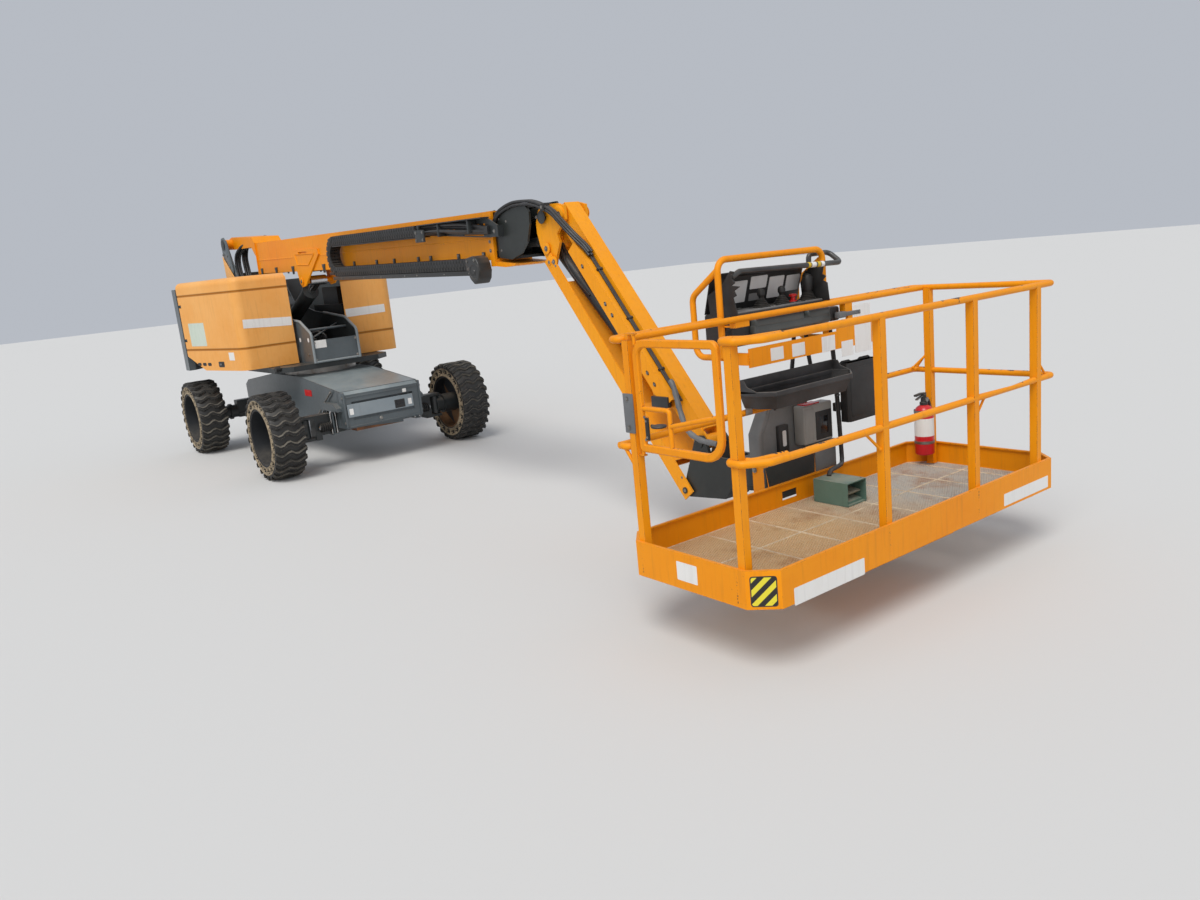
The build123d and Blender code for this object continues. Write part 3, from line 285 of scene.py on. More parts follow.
def floor_mesh_steel():
    n = Nodes("floor_mesh_steel")
    sep = n.add("SeparateXYZ", Vector=(n.tc, "Object"))
    side = n.ramp(n.plus((sep, 1), n.mul(n.noise(1.6, 3), 0.8)), 0.1, 0.9)
    color = n.mix(side, (0.66, 0.46, 0.25), (0.52, 0.49, 0.44))
    color = n.mix(n.ramp(n.noise(2.0, 6, 0.7), 0.56, 0.7, (0.0, 0.7)), color, (0.38, 0.16, 0.06))
    color = n.mix(n.ramp(n.noise(35, 5, 0.7), 0.5, 0.72, (0.0, 0.5)), color, (0.75, 0.62, 0.42))
    return n.finish(color, 0.6, n.noise(150, 4), 0.2, 0.0005, metallic=0.1)


def hazard():
    """The generic yellow and black diagonal square, on the platform's chamfer."""
    n = Nodes("hazard_stripes")
    across = n.add("VectorMath", {"operation": "DOT_PRODUCT"}, i0=(n.tc, "Object"), i1=(-0.74, -0.673, 1.0))
    band = n.math("FRACT", n.plus(n.mul((across, 1), 16.5), 0.1))
    stripe = n.ramp(band, 0.49, 0.51)
    color = n.mix(stripe, (0.014, 0.013, 0.012), (0.72, 0.62, 0.03))
    color = n.mix(n.ramp(n.noise(60, 5, 0.7), 0.66, 0.7, (0.0, 0.7)), color, (0.3, 0.16, 0.05))
    return n.finish(color, 0.45)


WORN = plastic("worn_lug_edge", (0.04, 0.037, 0.031), (0.165, 0.15, 0.122), 0.8, 0.25)
TYRE, TAN, HAZARD, MESH = tyre_rubber(), tan_ring(), hazard(), floor_mesh_steel()

# ---------------------------------------------------------------- mesh helpers


def spokes(x, y, n):
    """n directions round a circle in the plane of x and y."""
    return [x * cos(2 * pi * i / n) + y * sin(2 * pi * i / n) for i in range(n)]


class Shape:
    """One piece's mesh, made from solids. m is the index of a solid's material in the list given to done()."""

    def __init__(self):
        self.bm = bmesh.new()

    def mark(self):
        return set(self.bm.faces)

    def made(self, before, m, smooth=False, bevel=0.0, segments=2):
        """Bevels the solid made since the mark before, and sets its faces' material and smoothness."""
        if bevel:
            edges = {e for f in self.bm.faces if f not in before for e in f.edges}
            bmesh.ops.bevel(self.bm, geom=list(edges), offset=bevel, segments=segments, profile=0.5, affect="EDGES", clamp_overlap=True)
        for f in self.bm.faces:
            if f not in before:
                f.material_index, f.smooth = m, smooth

    def loft(self, rings, loop=False, caps=False):
        """Faces between rings of as many points; loop joins the last ring to the first, caps closes both ends."""
        rings = [[self.bm.verts.new(p) for p in ring] for ring in rings]
        n = len(rings[0])
        faces = [self.bm.faces.new((a[i], a[(i + 1) % n], b[(i + 1) % n], b[i]))
                 for a, b in zip(rings, rings[1:] + (rings[:1] if loop else [])) for i in range(n)]
        if caps:
            faces += [self.bm.faces.new(rings[0][::-1]), self.bm.faces.new(rings[-1])]
        bmesh.ops.recalc_face_normals(self.bm, faces=faces)

    def box(self, x0, x1, y0, y1, z0, z1, bevel=0.0, m=0, turn=None, segments=2):
        """turn is a matrix that turns the box about its middle."""
        before = self.mark()
        middle = Matrix.Translation(((x0 + x1) / 2, (y0 + y1) / 2, (z0 + z1) / 2))
        size = Matrix.Diagonal((abs(x1 - x0), abs(y1 - y0), abs(z1 - z0), 1))
        bmesh.ops.create_cube(self.bm, size=1, matrix=middle @ (turn or Matrix.Identity(4)) @ size)
        self.made(before, m, bevel=bevel, segments=segments)

    def prism(self, points, axis, a, b, bevel=0.0, m=0, segments=2):
        """points are (y, z) for axis 'x' and (x, z) for axis 'y'; from a to b along the axis."""
        before = self.mark()
        self.loft([[(t, p, q) if axis == "x" else (p, t, q) for p, q in points] for t in (a, b)], caps=True)
        self.made(before, m, bevel=bevel, segments=segments)

    def stack(self, levels, bevel=0.0, loop=False):
        """A wall through levels of (outline, z): closed at both ends, or looping back to the first."""
        before = self.mark()
        self.loft([[(x, y, z) for x, y in outline] for outline, z in levels], loop, not loop)
        self.made(before, 0, bevel=bevel, segments=3)

    def lathe(self, origin, axis, profile, n=32, m=0, smooth=True, close=True):
        """profile is (distance along axis, radius) pairs."""
        before = self.mark()
        o, z = Vector(origin), Vector(axis).normalized()
        x = z.orthogonal().normalized()
        self.loft([[o + z * t + out * max(r, 1e-5) for out in spokes(x, z.cross(x), n)] for t, r in profile], caps=close)
        self.made(before, m, smooth)

    def cyl(self, a, b, r, n=24, m=0, lip=0.0):
        """A cylinder from a to b; lip is the chamfer of its ends."""
        a, b = Vector(a), Vector(b)
        length = (b - a).length
        lip = min(lip, r * 0.5, length * 0.4)
        prof = [(0, r - lip), (lip, r), (length - lip, r), (length, r - lip)] if lip else [(0, r), (length, r)]
        self.lathe(a, b - a, prof, n, m)

    def bolt(self, at, axis, r=0.011, h=0.009, m=0, washer=True):
        """A hexagon head that points along axis."""
        at, axis = Vector(at), Vector(axis).normalized()
        if washer:
            self.cyl(at, at + axis * 0.002, r * 1.55, 16, m)
        self.lathe(at, axis, [(0, r), (h * 0.8, r), (h, r * 0.82)], 6, m, smooth=False)

    def sweep(self, line, r, n, m, corners, profile=None):
        """A round tube along line; at corners a ring halves the angle between its two runs."""
        before, rings, normal = self.mark(), [], None
        for i, p in enumerate(line):
            last, after = line[max(i - 1, 0)], line[min(i + 1, len(line) - 1)]
            d = ((after - p).normalized() + (p - last).normalized() if corners else after - last).normalized()
            normal = (d.orthogonal() if normal is None else normal - d * normal.dot(d)).normalized()
            size = profile(i / (len(line) - 1)) if profile else 1.0
            rings.append([p + out * r * size for out in spokes(normal, d.cross(normal), n)])
        self.loft(rings, caps=True)
        self.made(before, m, True)

    def tube(self, points, r, n=10, m=0, profile=None):
        """A tube along a smooth line through points; profile(t) scales the radius, t from 0 to 1."""
        self.sweep(smooth_line(points), r, n, m, False, profile)

    def bar(self, points, r, bend=0.05, n=14, m=0):
        """Bent steel tube: straight runs and arcs."""
        self.sweep(bent(points, bend), r, n, m, True)

    def plate(self, centre, side, up, w, h, t=0.001, r=0.004, m=0):
        """A thin plate with rounded corners on a face; side x up points outward."""
        before = self.mark()
        c, u, v = Vector(centre), Vector(side).normalized(), Vector(up).normalized()
        pts = []
        for cu, cv, a0 in ((1, 1, 0), (-1, 1, 90), (-1, -1, 180), (1, -1, 270)):
            for a in (radians(a0 + 30 * k) for k in range(4)):
                pts.append(c + u * (cu * (w / 2 - r) + r * cos(a)) + v * (cv * (h / 2 - r) + r * sin(a)))
        self.loft([pts, [p + u.cross(v) * t for p in pts]], caps=True)
        self.made(before, m)

    def blob(self, at, r, m=0, flat=(1, 1, 1)):
        before = self.mark()
        place = Matrix.Translation(Vector(at)) @ Matrix.Diagonal((*flat, 1))
        bmesh.ops.create_uvsphere(self.bm, u_segments=8, v_segments=5, radius=r, matrix=place)
        self.made(before, m, True)

    def weld(self, points, r, m=0):
        """A bead along straight runs, rippled every 4 mm."""
        for a, b in zip(points, points[1:]):
            a, b = Vector(a), Vector(b)
            n = max(2, int((b - a).length / 0.004))
            self.lathe(a, b - a, [((b - a).length * k / n, r * (1.0 if k % 2 else 0.78)) for k in range(n + 1)], 6, m)

    def link(self, at, turn, half, wide, r, m=0):
        """An oval chain link; before turn its long way is Z and it lies in XZ."""
        before, rings, n = self.mark(), [], 16
        for a in (2 * pi * (i + 0.5) / n for i in range(n)):
            mid = Vector((wide * cos(a), 0, wide * sin(a) + (half - wide) * (1 if sin(a) > 0 else -1)))
            section = spokes(Vector((cos(a), 0, sin(a))), Vector((0, 1, 0)), 6)
            rings.append([Vector(at) + turn @ (mid + out * r) for out in section])
        self.loft(rings, loop=True)
        self.made(before, m, True)

    def absorb(self, other, spots):
        """Takes in a copy of another shape at each matrix of spots."""
        once = bpy.data.meshes.new("once")
        other.bm.to_mesh(once)
        other.bm.free()
        for spot in spots:
            copy = once.copy()
            copy.transform(spot)
            self.bm.from_mesh(copy)
            bpy.data.meshes.remove(copy)
        bpy.data.meshes.remove(once)

    def done(self, name, body, mats, slot, stands_for=(), auto=35):
        """Makes the piece: its body (none leaves it unattached), the nodes it replaces and the sharp edges' angle; slot
        is not used.
        """
        bmesh.ops.translate(self.bm, verts=self.bm.verts, vec=(-OX, 0, 0))
        mesh = bpy.data.meshes.new(name)
        self.bm.to_mesh(mesh)
        self.bm.free()
        for mat in mats:
            mesh.materials.append(mat)
        obj = bpy.data.objects.new(name, mesh)
        bpy.context.scene.collection.objects.link(obj)
        if auto:
            mesh.set_sharp_from_angle(angle=radians(auto))
        if body:
            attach(obj, body)
        if stands_for:
            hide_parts(*stands_for)
        return obj


def smooth_line(points, step=0.02):
    """Points close together on a curve that passes through the given ones."""
    p = [Vector(q) for q in points]
    if len(p) == 2:
        return p
    p = [p[0] * 2 - p[1]] + p + [p[-1] * 2 - p[-2]]
    out = []
    for i in range(1, len(p) - 2):
        a, b, c, d = p[i - 1:i + 3]
        count = max(2, int((c - b).length / step))
        for t in (k / count for k in range(count)):
            out.append(0.5 * ((2 * b) + (c - a) * t + (2 * a - 5 * b + 4 * c - d) * t * t + (3 * b - a - 3 * c + d) * t ** 3))
    return out + [p[-2]]


def bent(points, radius, steps=6):
    """A polyline whose corners are arcs, for bent steel tube."""
    p = [Vector(q) for q in points]
    out = [p[0]]
    for a, b, c in zip(p, p[1:], p[2:]):
        u, v = (a - b).normalized(), (c - b).normalized()
        half = u.angle(v) / 2
        back = min(radius / max(tan(half), 1e-3), (a - b).length * 0.49, (c - b).length * 0.49)
        centre = b + (u + v).normalized() * (back * tan(half) / sin(half))
        s, e = b + u * back - centre, b + v * back - centre
        axis = s.cross(e).normalized()
        out += [centre + Matrix.Rotation(s.angle(e) * k / steps, 3, axis) @ s for k in range(steps + 1)]
    return out + [p[-1]]
# ---------------------------------------------------------------- CAD nodes: materials and softened edges

LOOK = {}
for names, mat in (
    (("boom_base", "platform_tray", "console_guard"), ORANGE),
    (("platform_rails", "gate"), RAIL),
    (("jib_upper", "jib_lower", "knuckle"), BRIGHT),
    (("hood_right", "hood_left"), HOOD),
    (("chassis_frame", "turret_frame", "counterweight"), GREY),
    (("boom_fly", "jib_head"), NOSE),
    (("lift_barrel", "rotator", "level_barrel", "jib_barrel", "chain_bracket", "axle_front", "axle_rear",
      "steer_knuckle_right", "steer_knuckle_left", "engine_block", "console"), DARK),
    (("chain_carrier", "tool_tray", "document_box"), BLACK),
    (("rotator_cover",), COVER),
    (("foot_pedal",), TEAL),
    (("extinguisher",), RED),
    (("slew_bearing",), STEEL),
    (("platform_floor",), MESH),
    (("lift_rod", "level_rod", "jib_rod"), CHROME),
    (tuple(n for n in NODES if n.startswith("rim_")), RIM_SHADED),
    (tuple(n for n in NODES if n.startswith("tyre_")), TYRE),
):
    for node in names:
        LOOK[node] = mat
for node, obj in NODES.items():
    obj.data.materials.clear()
    obj.data.materials.append(LOOK[node])
    for poly in obj.data.polygons:
        poly.material_index = 0
    if node != "platform_floor" and not node.startswith("tyre_"):
        mod = obj.modifiers.new("soft_edges", "BEVEL")
        mod.width = 0.0025
        mod.segments = 2
        mod.limit_method = "ANGLE"
        mod.angle_limit = radians(35)
        mod.harden_normals = False

def recolor(node, mat, test):
    """Gives the polygons of a CAD node whose middle and normal pass the test another material."""
    mesh = NODES[node].data
    mesh.materials.append(mat)
    for poly in mesh.polygons:
        c = poly.center
        if test(c.x + OX, c.y, c.z, poly.normal):
            poly.material_index = len(mesh.materials) - 1


# upward faces high on the chassis take the lighter grey: painted light on its top
recolor("chassis_frame", TOP_LIT_GREY, lambda x, y, z, n: n.z > 0.5 and z > 0.7)
recolor("chassis_frame", SKID, lambda x, y, z, n: x > 1.3 and z < 0.366 and abs(y) < 0.32)
# the turret's floor plate and its inside between the cheeks take the dark grey: painted shade under and inside the
# turret
recolor("turret_frame", DARK, lambda x, y, z, n: z < 0.99 or (abs(y) < 0.247 and x < 0.52))
recolor("rotator", ORANGE, lambda x, y, z, n: x > 6.68 and (abs(y + 0.144) < 0.02 or abs(y - 0.229) < 0.02))
recolor("rim_front_left", RUSTY, lambda x, y, z, n: (n.y < -0.5 or n.z > 0.3) and z < 0.33)
# faces at the grooves' heights take that darker orange, as painted groove shade
for node in ("hood_right", "hood_left"):
    for groove in HOOD_GROOVES:
        recolor(node, GROOVE_SHADE, lambda x, y, z, n: abs(z - groove) < 0.0075)

# ---------------------------------------------------------------- tyres
WHEELS = (("front_right", 1, -1), ("front_left", 1, 1), ("rear_right", -1, -1), ("rear_left", -1, 1))
WHEEL_X, WHEEL_Y, NUTS, NUTS_R = 1.24, 1.01, 9, 0.13
TYRE_R, TYRE_HALF, LUG_H, BORE_R, LUGS, POCKETS, POCKET_R = 0.42, 0.1525, 0.022, 0.276, 26, 20, 0.33
WAVE = ((-0.1515, -0.028), (-0.125, -0.024), (-0.095, -0.006), (-0.062, 0.012), (-0.03, 0.006), (0.005, -0.018), (0.035, -0.012),
        (0.072, 0.014), (0.105, 0.02), (0.13, 0.004), (0.1515, -0.012))
# a lug's section: along the tread, height over the carcass
LUG = ((-0.028, -0.004), (-0.025, 0.0095), (-0.0175, 0.0115), (-0.0135, 0.0215), (0.0, 0.022), (0.0125, 0.0215), (0.0165, 0.0115),
       (0.023, 0.0095), (0.026, -0.004))


def step(t):
    """A smooth step from 0 to 1 as t goes from 0 to 1."""
    t = max(0.0, min(1.0, t))
    return t * t * (3 - 2 * t)


def tyre(name, cx, cy, side):
    s = Shape()
    base, h = TYRE_R - LUG_H, TYRE_HALF
    edge = h - 0.0055
    n = 160
    s.lathe((cx, cy, TYRE_R), (0, 1, 0), [(-edge, 0.372), (-h + 0.009, 0.385), (-h + 0.028, base - 0.003), (0, base),
                                          (h - 0.028, base - 0.003), (h - 0.009, 0.385), (edge, 0.372)], n, 2, close=False)
    radii = [BORE_R, 0.281, 0.286, 0.292, 0.298, 0.304] + [0.3095 + 0.0052 * k for k in range(9)] + [0.357, 0.362, 0.367, 0.372]
    for out in (-1, 1):
        rings = []
        for r in radii:
            ring = []
            for i in range(n):
                a, k = 2 * pi * i / n, (i / n * POCKETS) % 1.0 - 0.5
                pocket = step(1.5 - ((r - POCKET_R) / 0.021) ** 2 - (k / 0.31) ** 2)
                ridge = 0.0045 * (step(1.6 - abs(r - 0.289) / 0.006) + step(1.6 - abs(r - 0.3635) / 0.005)) * step((0.3725 - r) / 0.004)
                y = edge - 0.001 + ridge - 0.024 * pocket - 0.006 * step((0.28 - r) / 0.004)
                ring.append(s.bm.verts.new((cx + r * cos(a), cy + out * y, TYRE_R + r * sin(a))))
            rings.append(ring)
        for (r0, a), (r1, b) in zip(zip(radii, rings), zip(radii[1:], rings[1:])):
            mid = (r0 + r1) / 2
            for i in range(n):
                quad = (a[i], a[(i + 1) % n], b[(i + 1) % n], b[i])
                f = s.bm.faces.new(quad if out < 0 else quad[::-1])
                k = ((i + 0.5) / n * POCKETS) % 1.0 - 0.5
                in_pocket = ((mid - POCKET_R) / 0.0225) ** 2 + (k / 0.33) ** 2 < 1
                f.material_index, f.smooth = 1 if 0.284 < mid < 0.369 and not in_pocket else 0, True
    for i in range(LUGS):
        t = radians(270 + 360 / LUGS * i)
        rows = []
        for w, off in WAVE:
            drop = 0.011 * step((abs(w) - 0.128) / 0.026)
            row = []
            for b, up in LUG:
                r = base + up - drop
                ang = t + side * (b + off) / r
                row.append(s.bm.verts.new((cx + r * cos(ang), cy + side * w, TYRE_R + r * sin(ang))))
            rows.append(row)
        faces = [s.bm.faces.new(rows[0]), s.bm.faces.new(rows[-1][::-1])]
        for a, b in zip(rows, rows[1:]):
            for k in range(len(LUG) - 1):
                faces.append(s.bm.faces.new((a[k], a[k + 1], b[k + 1], b[k])))
                faces[-1].material_index = 3 if k in (1, 2) else 0
        bmesh.ops.recalc_face_normals(s.bm, faces=faces)
    s.done("tread_" + name, "wheel_" + name, [TYRE, TAN, BLACK2, WORN], "tyre_rubber", ("tyre_" + name,), auto=28)
    # the wheel's nuts, the hub's cap and the weld round the disc
    s, out = Shape(), (0, side, 0)
    for k in range(NUTS):
        a = 2 * pi * k / NUTS
        s.bolt((cx + NUTS_R * cos(a), cy - side * 0.002, TYRE_R + NUTS_R * sin(a)), out, 0.0125, 0.012, 0)
    s.lathe((cx, cy + side * 0.018, TYRE_R), out, [(0, 0.088), (0.006, 0.088), (0.01, 0.075), (0.022, 0.07), (0.026, 0.06)], 32, 1)
    s.lathe((cx, cy - side * 0.034, TYRE_R), out, [(-0.004, 0.2655), (0.003, 0.2645), (0.006, 0.26), (0.001, 0.2565)], 48, 1, close=False)
    s.done("hub_" + name, "wheel_" + name, [STEEL, DARK], "wheel_paint")


for name, fore, side in WHEELS:
    tyre(name, fore * WHEEL_X, side * WHEEL_Y, side)

# ---------------------------------------------------------------- platform floor: expanded metal with its seams
PL_X, PL_W, PL_L, PL_CHX, PL_CHY = 7.275, 0.92, 2.42, 0.11, 0.1
FLOOR_Z, SEAM_LOW, SEAM_W = 0.358, 0.346, 0.009
MESH_PITCH, MESH_ANGLE = 0.0145, radians(60)


def octagon(t):
    """The platform's outline, t inside of its outer faces."""
    hx, hy = PL_W / 2 - t, PL_L / 2 - t
    cx, cy = PL_CHX - 0.45 * t, PL_CHY - 0.45 * t
    return [(PL_X - hx + cx, -hy), (PL_X + hx - cx, -hy), (PL_X + hx, -hy + cy), (PL_X + hx, hy - cy), (PL_X + hx - cx, hy),
            (PL_X - hx + cx, hy), (PL_X - hx, hy - cy), (PL_X - hx, -hy + cy)]


def cut_to(poly, p, d):
    """Where the line p + t d is inside the convex polygon (counterclockwise)."""
    t0, t1 = -9.0, 9.0
    for (ax, ay), (bx, by) in zip(poly, poly[1:] + poly[:1]):
        nx, ny = ay - by, bx - ax
        dist, rate = (p[0] - ax) * nx + (p[1] - ay) * ny, d[0] * nx + d[1] * ny
        if abs(rate) < 1e-9:
            if dist < 0:
                return None
        elif rate > 0:
            t0 = max(t0, -dist / rate)
        else:
            t1 = min(t1, -dist / rate)
    return (t0, t1) if t1 > t0 + 0.004 else None


def strand(s, a, b, width, z0, z1, m):
    """A flat bar from a to b, narrower at its top and open at its ends."""
    dx, dy = b[0] - a[0], b[1] - a[1]
    n = hypot(dx, dy)
    ox, oy = -dy / n * width / 2, dx / n * width / 2
    v = [s.bm.verts.new((p[0] + ox * k * out, p[1] + oy * k * out, z)) for out in (-1, 1)
         for p, k, z in ((a, 1, z0), (b, 1, z0), (b, 0.7, z1), (a, 0.7, z1))]
    for q in ((0, 1, 2, 3), (5, 4, 7, 6), (3, 2, 6, 7), (4, 5, 1, 0)):
        s.bm.faces.new([v[k] for k in q]).material_index = m


s = Shape()
edge_poly = octagon(0.009)
for sign, z0, z1 in ((1, SEAM_LOW, 0.3555), (-1, 0.3475, 0.3575)):
    d = (cos(MESH_ANGLE) * sign, sin(MESH_ANGLE))
    for x in (PL_X + k * MESH_PITCH for k in range(-90, 91)):
        span = cut_to(edge_poly, (x, 0), d)
        if span:
            strand(s, *[(x + d[0] * t, d[1] * t) for t in span], 0.0042, z0, z1, 0)
for y in (-0.97, -0.67, -0.36, -0.06, 0.24, 0.54, 0.84, 1.1):
    strand(s, *[(PL_X + t, y) for t in cut_to(edge_poly, (PL_X, y), (1, 0))], SEAM_W, SEAM_LOW, FLOOR_Z + 0.0006, 1)
strand(s, *[(7.203, t) for t in cut_to(edge_poly, (7.203, 0), (0, 1))], SEAM_W, SEAM_LOW, FLOOR_Z + 0.0008, 1)
ring = octagon(0.01)
for a, b in zip(ring, ring[1:] + ring[:1]):
    strand(s, a, b, 0.008, SEAM_LOW, FLOOR_Z, 1)
s.done("floor_mesh", "platform", [MESH, SEAM], "floor_mesh", ("platform_floor",), auto=0)

# ---------------------------------------------------------------- platform: plates, struts, welds, stickers
RIGHT_SIDE, FRONT = (AHEAD, UP), ((0, 1, 0), UP)   # a surface's side and up directions
BOARD_X, BOARD_Y = PL_X + PL_W / 2, PL_L / 2
CH = Vector((0.11, 0.1, 0)).normalized()
s = Shape()
for y, z, w, h in ((-0.8, 0.35, 0.475, 0.078), (0.846, 0.366, 0.455, 0.066)):
    s.plate((BOARD_X, y, z), *FRONT, w, h, t=0.0004, r=0.005)
s.plate((7.268, -BOARD_Y, 0.405), *RIGHT_SIDE, 0.132, 0.088, t=0.0004)
for y, z, w, h in ((-0.167, 1.232, 0.098, 0.066), (0.002, 1.23, 0.102, 0.068), (0.25, 1.228, 0.112, 0.082)):
    s.plate((6.938, y, z), *FRONT, w, h, r=0.003)
s.plate((6.9385, 0.553, 1.276), *FRONT, 0.146, 0.268, t=0.0025)
s.plate((6.9405, 0.408, 1.18), *FRONT, 0.1, 0.086, t=0.0022)
s.done("platform_stickers", "platform", [WHITE], "boom_paint")

s = Shape()
mid = Vector((BOARD_X - 0.055, -BOARD_Y + 0.05, 0.4))
s.plate(mid, CH, UP, 0.113, 0.134, r=0.012, m=1)
s.plate(mid + CH.cross(Vector(UP)) * 0.0012, CH, UP, 0.103, 0.124, r=0.009)
s.done("hazard_square", "platform", [HAZARD, BLACK], "boom_paint")

s = Shape()
# round struts: from a post down or up to the middle rail
for a, b in (((7.7, -0.372, 0.845), (7.7, -0.47, 0.93)), ((7.7, 0.425, 0.85), (7.7, 0.5, 0.93)),
             ((7.7, 1.01, 1.06), (7.7, 1.11, 0.955)), ((6.94, 1.176, 1.05), (6.868, 1.178, 0.96)),
             ((6.955, 1.166, 1.05), (6.875, 1.12, 0.96))):
    s.cyl(a, b, 0.0065, 10)
    for p in (a, b):
        s.blob(p, 0.01)
# welds round the posts' feet
for x, y in ((6.955, -1.173), (7.595, -1.173), (7.698, -0.345), (7.698, 0.4), (7.698, 1.01), (6.955, 1.173)):
    s.weld([(x + dx, y + dy, FLOOR_Z + 0.002) for dx, dy in
            ((-0.022, -0.022), (0.022, -0.022), (0.022, 0.022), (-0.022, 0.022), (-0.022, -0.022))], 0.0035)
# plug welds that hold the posts to the boards
ON_FRONT, ON_SIDE = (0.12, 1, 1.4), (1, 0.12, 1.4)
for x, y, z, pitch, count, r, flat in (
    (BOARD_X, -0.366, 0.345, 0.0155, 9, 0.0042, ON_FRONT), (BOARD_X, 0.38, 0.345, 0.0155, 9, 0.0042, ON_FRONT),
    (7.576, -BOARD_Y, 0.342, 0.0145, 9, 0.0042, ON_SIDE), (6.962, -BOARD_Y, 0.345, 0.0155, 7, 0.004, ON_SIDE),
):
    for k in range(count):
        s.blob((x, y, z + pitch * k), r, 0, flat)
# corner seams of the toe board
for x, y in octagon(0.003):
    s.weld([(x, y, 0.322), (x, y, 0.486)], 0.003)
# the shallow pressed frame at both ends of the board under the gate
for x0, x1 in ((7.585, 7.622), (6.94, 6.975)):
    s.weld([(x, -BOARD_Y + 0.0015, z) for x, z in ((x0, 0.34), (x1, 0.34), (x1, 0.468), (x0, 0.468))], 0.002)
s.done("platform_welds", "platform", [ORANGE], "boom_paint")

# the gate's hinge plate, latch plate and knob; the chain that hangs at the rear post
s = Shape()
s.plate((6.947, -1.1938, 1.103), *RIGHT_SIDE, 0.07, 0.184, t=0.0035)
for z in (1.17, 1.036):
    s.bolt((6.94, -1.1973, z), RIGHTWARD, 0.008, 0.006, 1)
s.done("gate_plate", "platform", [CONDUIT, STEEL], "boom_paint")
s = Shape()
s.box(7.046, 7.07, -1.192, -1.184, 0.986, 1.09, 0.003, 0)
s.lathe((7.112, -1.166, 1.043), UP, [(0, 0.012), (0.002, 0.033), (0.007, 0.037), (0.012, 0.034), (0.015, 0.02), (0.016, 0.004)], 32, 0)
s.cyl((7.066, -1.17, 1.05), (7.09, -1.168, 1.05), 0.007, 12, 0)
for z in (1.075, 1.0):
    s.bolt((7.058, -1.192, z), RIGHTWARD, 0.006, 0.004, 1, washer=False)
s.weld([(7.026, -1.172, 1.138), (7.026, -1.172, 1.116)], 0.004, 2)
s.weld([(7.19, -1.172, 1.139), (7.204, -1.172, 1.139)], 0.003, 2)
s.done("gate_latch", "gate", [BLACK, STEEL, ORANGE], "boom_paint")
s = Shape()
GATE_X, GATE_Z, HINGE_Y, LEAST_R = (6.988, 7.53), (0.925, 1.442), -1.173, 0.006
WALL, DEEP, SOFT = 0.037, 0.026, 0.006        # the frame's flat bar: its width, its depth and its rounding


def corner(x, z, r, a0, steps=6):
    """An arc of the gate's outline about (x, z), a quarter turn from a0 degrees."""
    return [(x + r * cos(radians(a0 + 90 * k / steps)), z + r * sin(radians(a0 + 90 * k / steps))) for k in range(steps + 1)]


def frame_outline(inset):
    """The gate frame's outline, inset from its outer edge; no corner is sharper than LEAST_R."""
    (x0, x1), (z0, z1) = GATE_X, GATE_Z
    out = []
    for x, z, r, a0 in ((x1, z1, 0.04, 0), (x0, z1, 0.08, 90), (x0, z0, 0.03, 180), (x1, z0, 0.11, 270)):
        sx, sz, back = (-1 if x == x1 else 1), (-1 if z == z1 else 1), max(r, inset + LEAST_R)
        out += corner(x + sx * back, z + sz * back, back - inset, a0)
    return out


section = ((0.0, SOFT), (0.0, DEEP - SOFT), (SOFT, DEEP), (WALL - SOFT, DEEP), (WALL, DEEP - SOFT), (WALL, SOFT), (WALL - SOFT, 0.0),
           (SOFT, 0.0))
s.loft([[(x, HINGE_Y - DEEP / 2 + dy, z) for x, z in frame_outline(inset)] for inset, dy in section], loop=True)
s.bar([(7.008, HINGE_Y, 1.127), (7.198, HINGE_Y, 1.128), (7.2, HINGE_Y, 0.95)], 0.011, 0.014, 12)
s.bar([(7.2, HINGE_Y, 1.058), (7.51, HINGE_Y, 1.124)], 0.011, 0.014, 12)
for z in (0.985, 1.09):
    s.bolt((7.036, HINGE_Y - 0.008, z), RIGHTWARD, 0.007, 0.004, 1, washer=False)
s.box(7.025, 7.048, HINGE_Y - 0.008, HINGE_Y + 0.008, 0.985, 1.09, 0.001, 0)
s.done("gate_frame", "gate", [RAIL, STEEL], "boom_paint", ("gate",))
s = Shape()
p = Vector((6.862, -0.42, 0.735))
for k in range(13):
    turn = Matrix.Rotation(pi / 2 * (k % 2) + 0.4, 4, "Z") @ Matrix.Rotation(0.1 * sin(k), 4, "X")
    s.link(p + Vector((0.004 * sin(k * 0.5), 0.003 * sin(k * 0.9), -0.0205 * k)), turn, 0.0145, 0.0085, 0.0028, k % 2)
s.done("marker_chain", "platform", [REDMARK, WHITE], "red_paint")

# ---------------------------------------------------------------- console
PANEL_Z = 1.466
s = Shape()
s.box(6.652, 6.852, -0.398, 0.341, 1.29, 1.462, 0.012, 0)
# switch panel with its blank keys
s.box(6.69, 6.848, -0.385, 0.33, 1.458, 1.467, 0.003, 2)
for k, (x, y) in enumerate([(6.716, -0.3), (6.716, -0.25), (6.716, -0.2), (6.716, 0.145), (6.716, 0.19), (6.828, -0.01), (6.828, 0.15),
                            (6.828, 0.185)]):
    s.box(x - 0.01, x + 0.01, y - 0.014, y + 0.014, 1.467, 1.474, 0.003, 0 if k % 2 else 3)
s.lathe((6.76, 0.185, PANEL_Z), UP, [(0, 0.026), (0.008, 0.026), (0.01, 0.014), (0.028, 0.014), (0.03, 0.022), (0.04, 0.022),
                                     (0.044, 0.014)], 24, 4)
s.lathe((6.765, -0.33, PANEL_Z), UP, [(0, 0.016), (0.012, 0.016), (0.014, 0.011), (0.034, 0.006), (0.04, 0.007)], 16, 0)
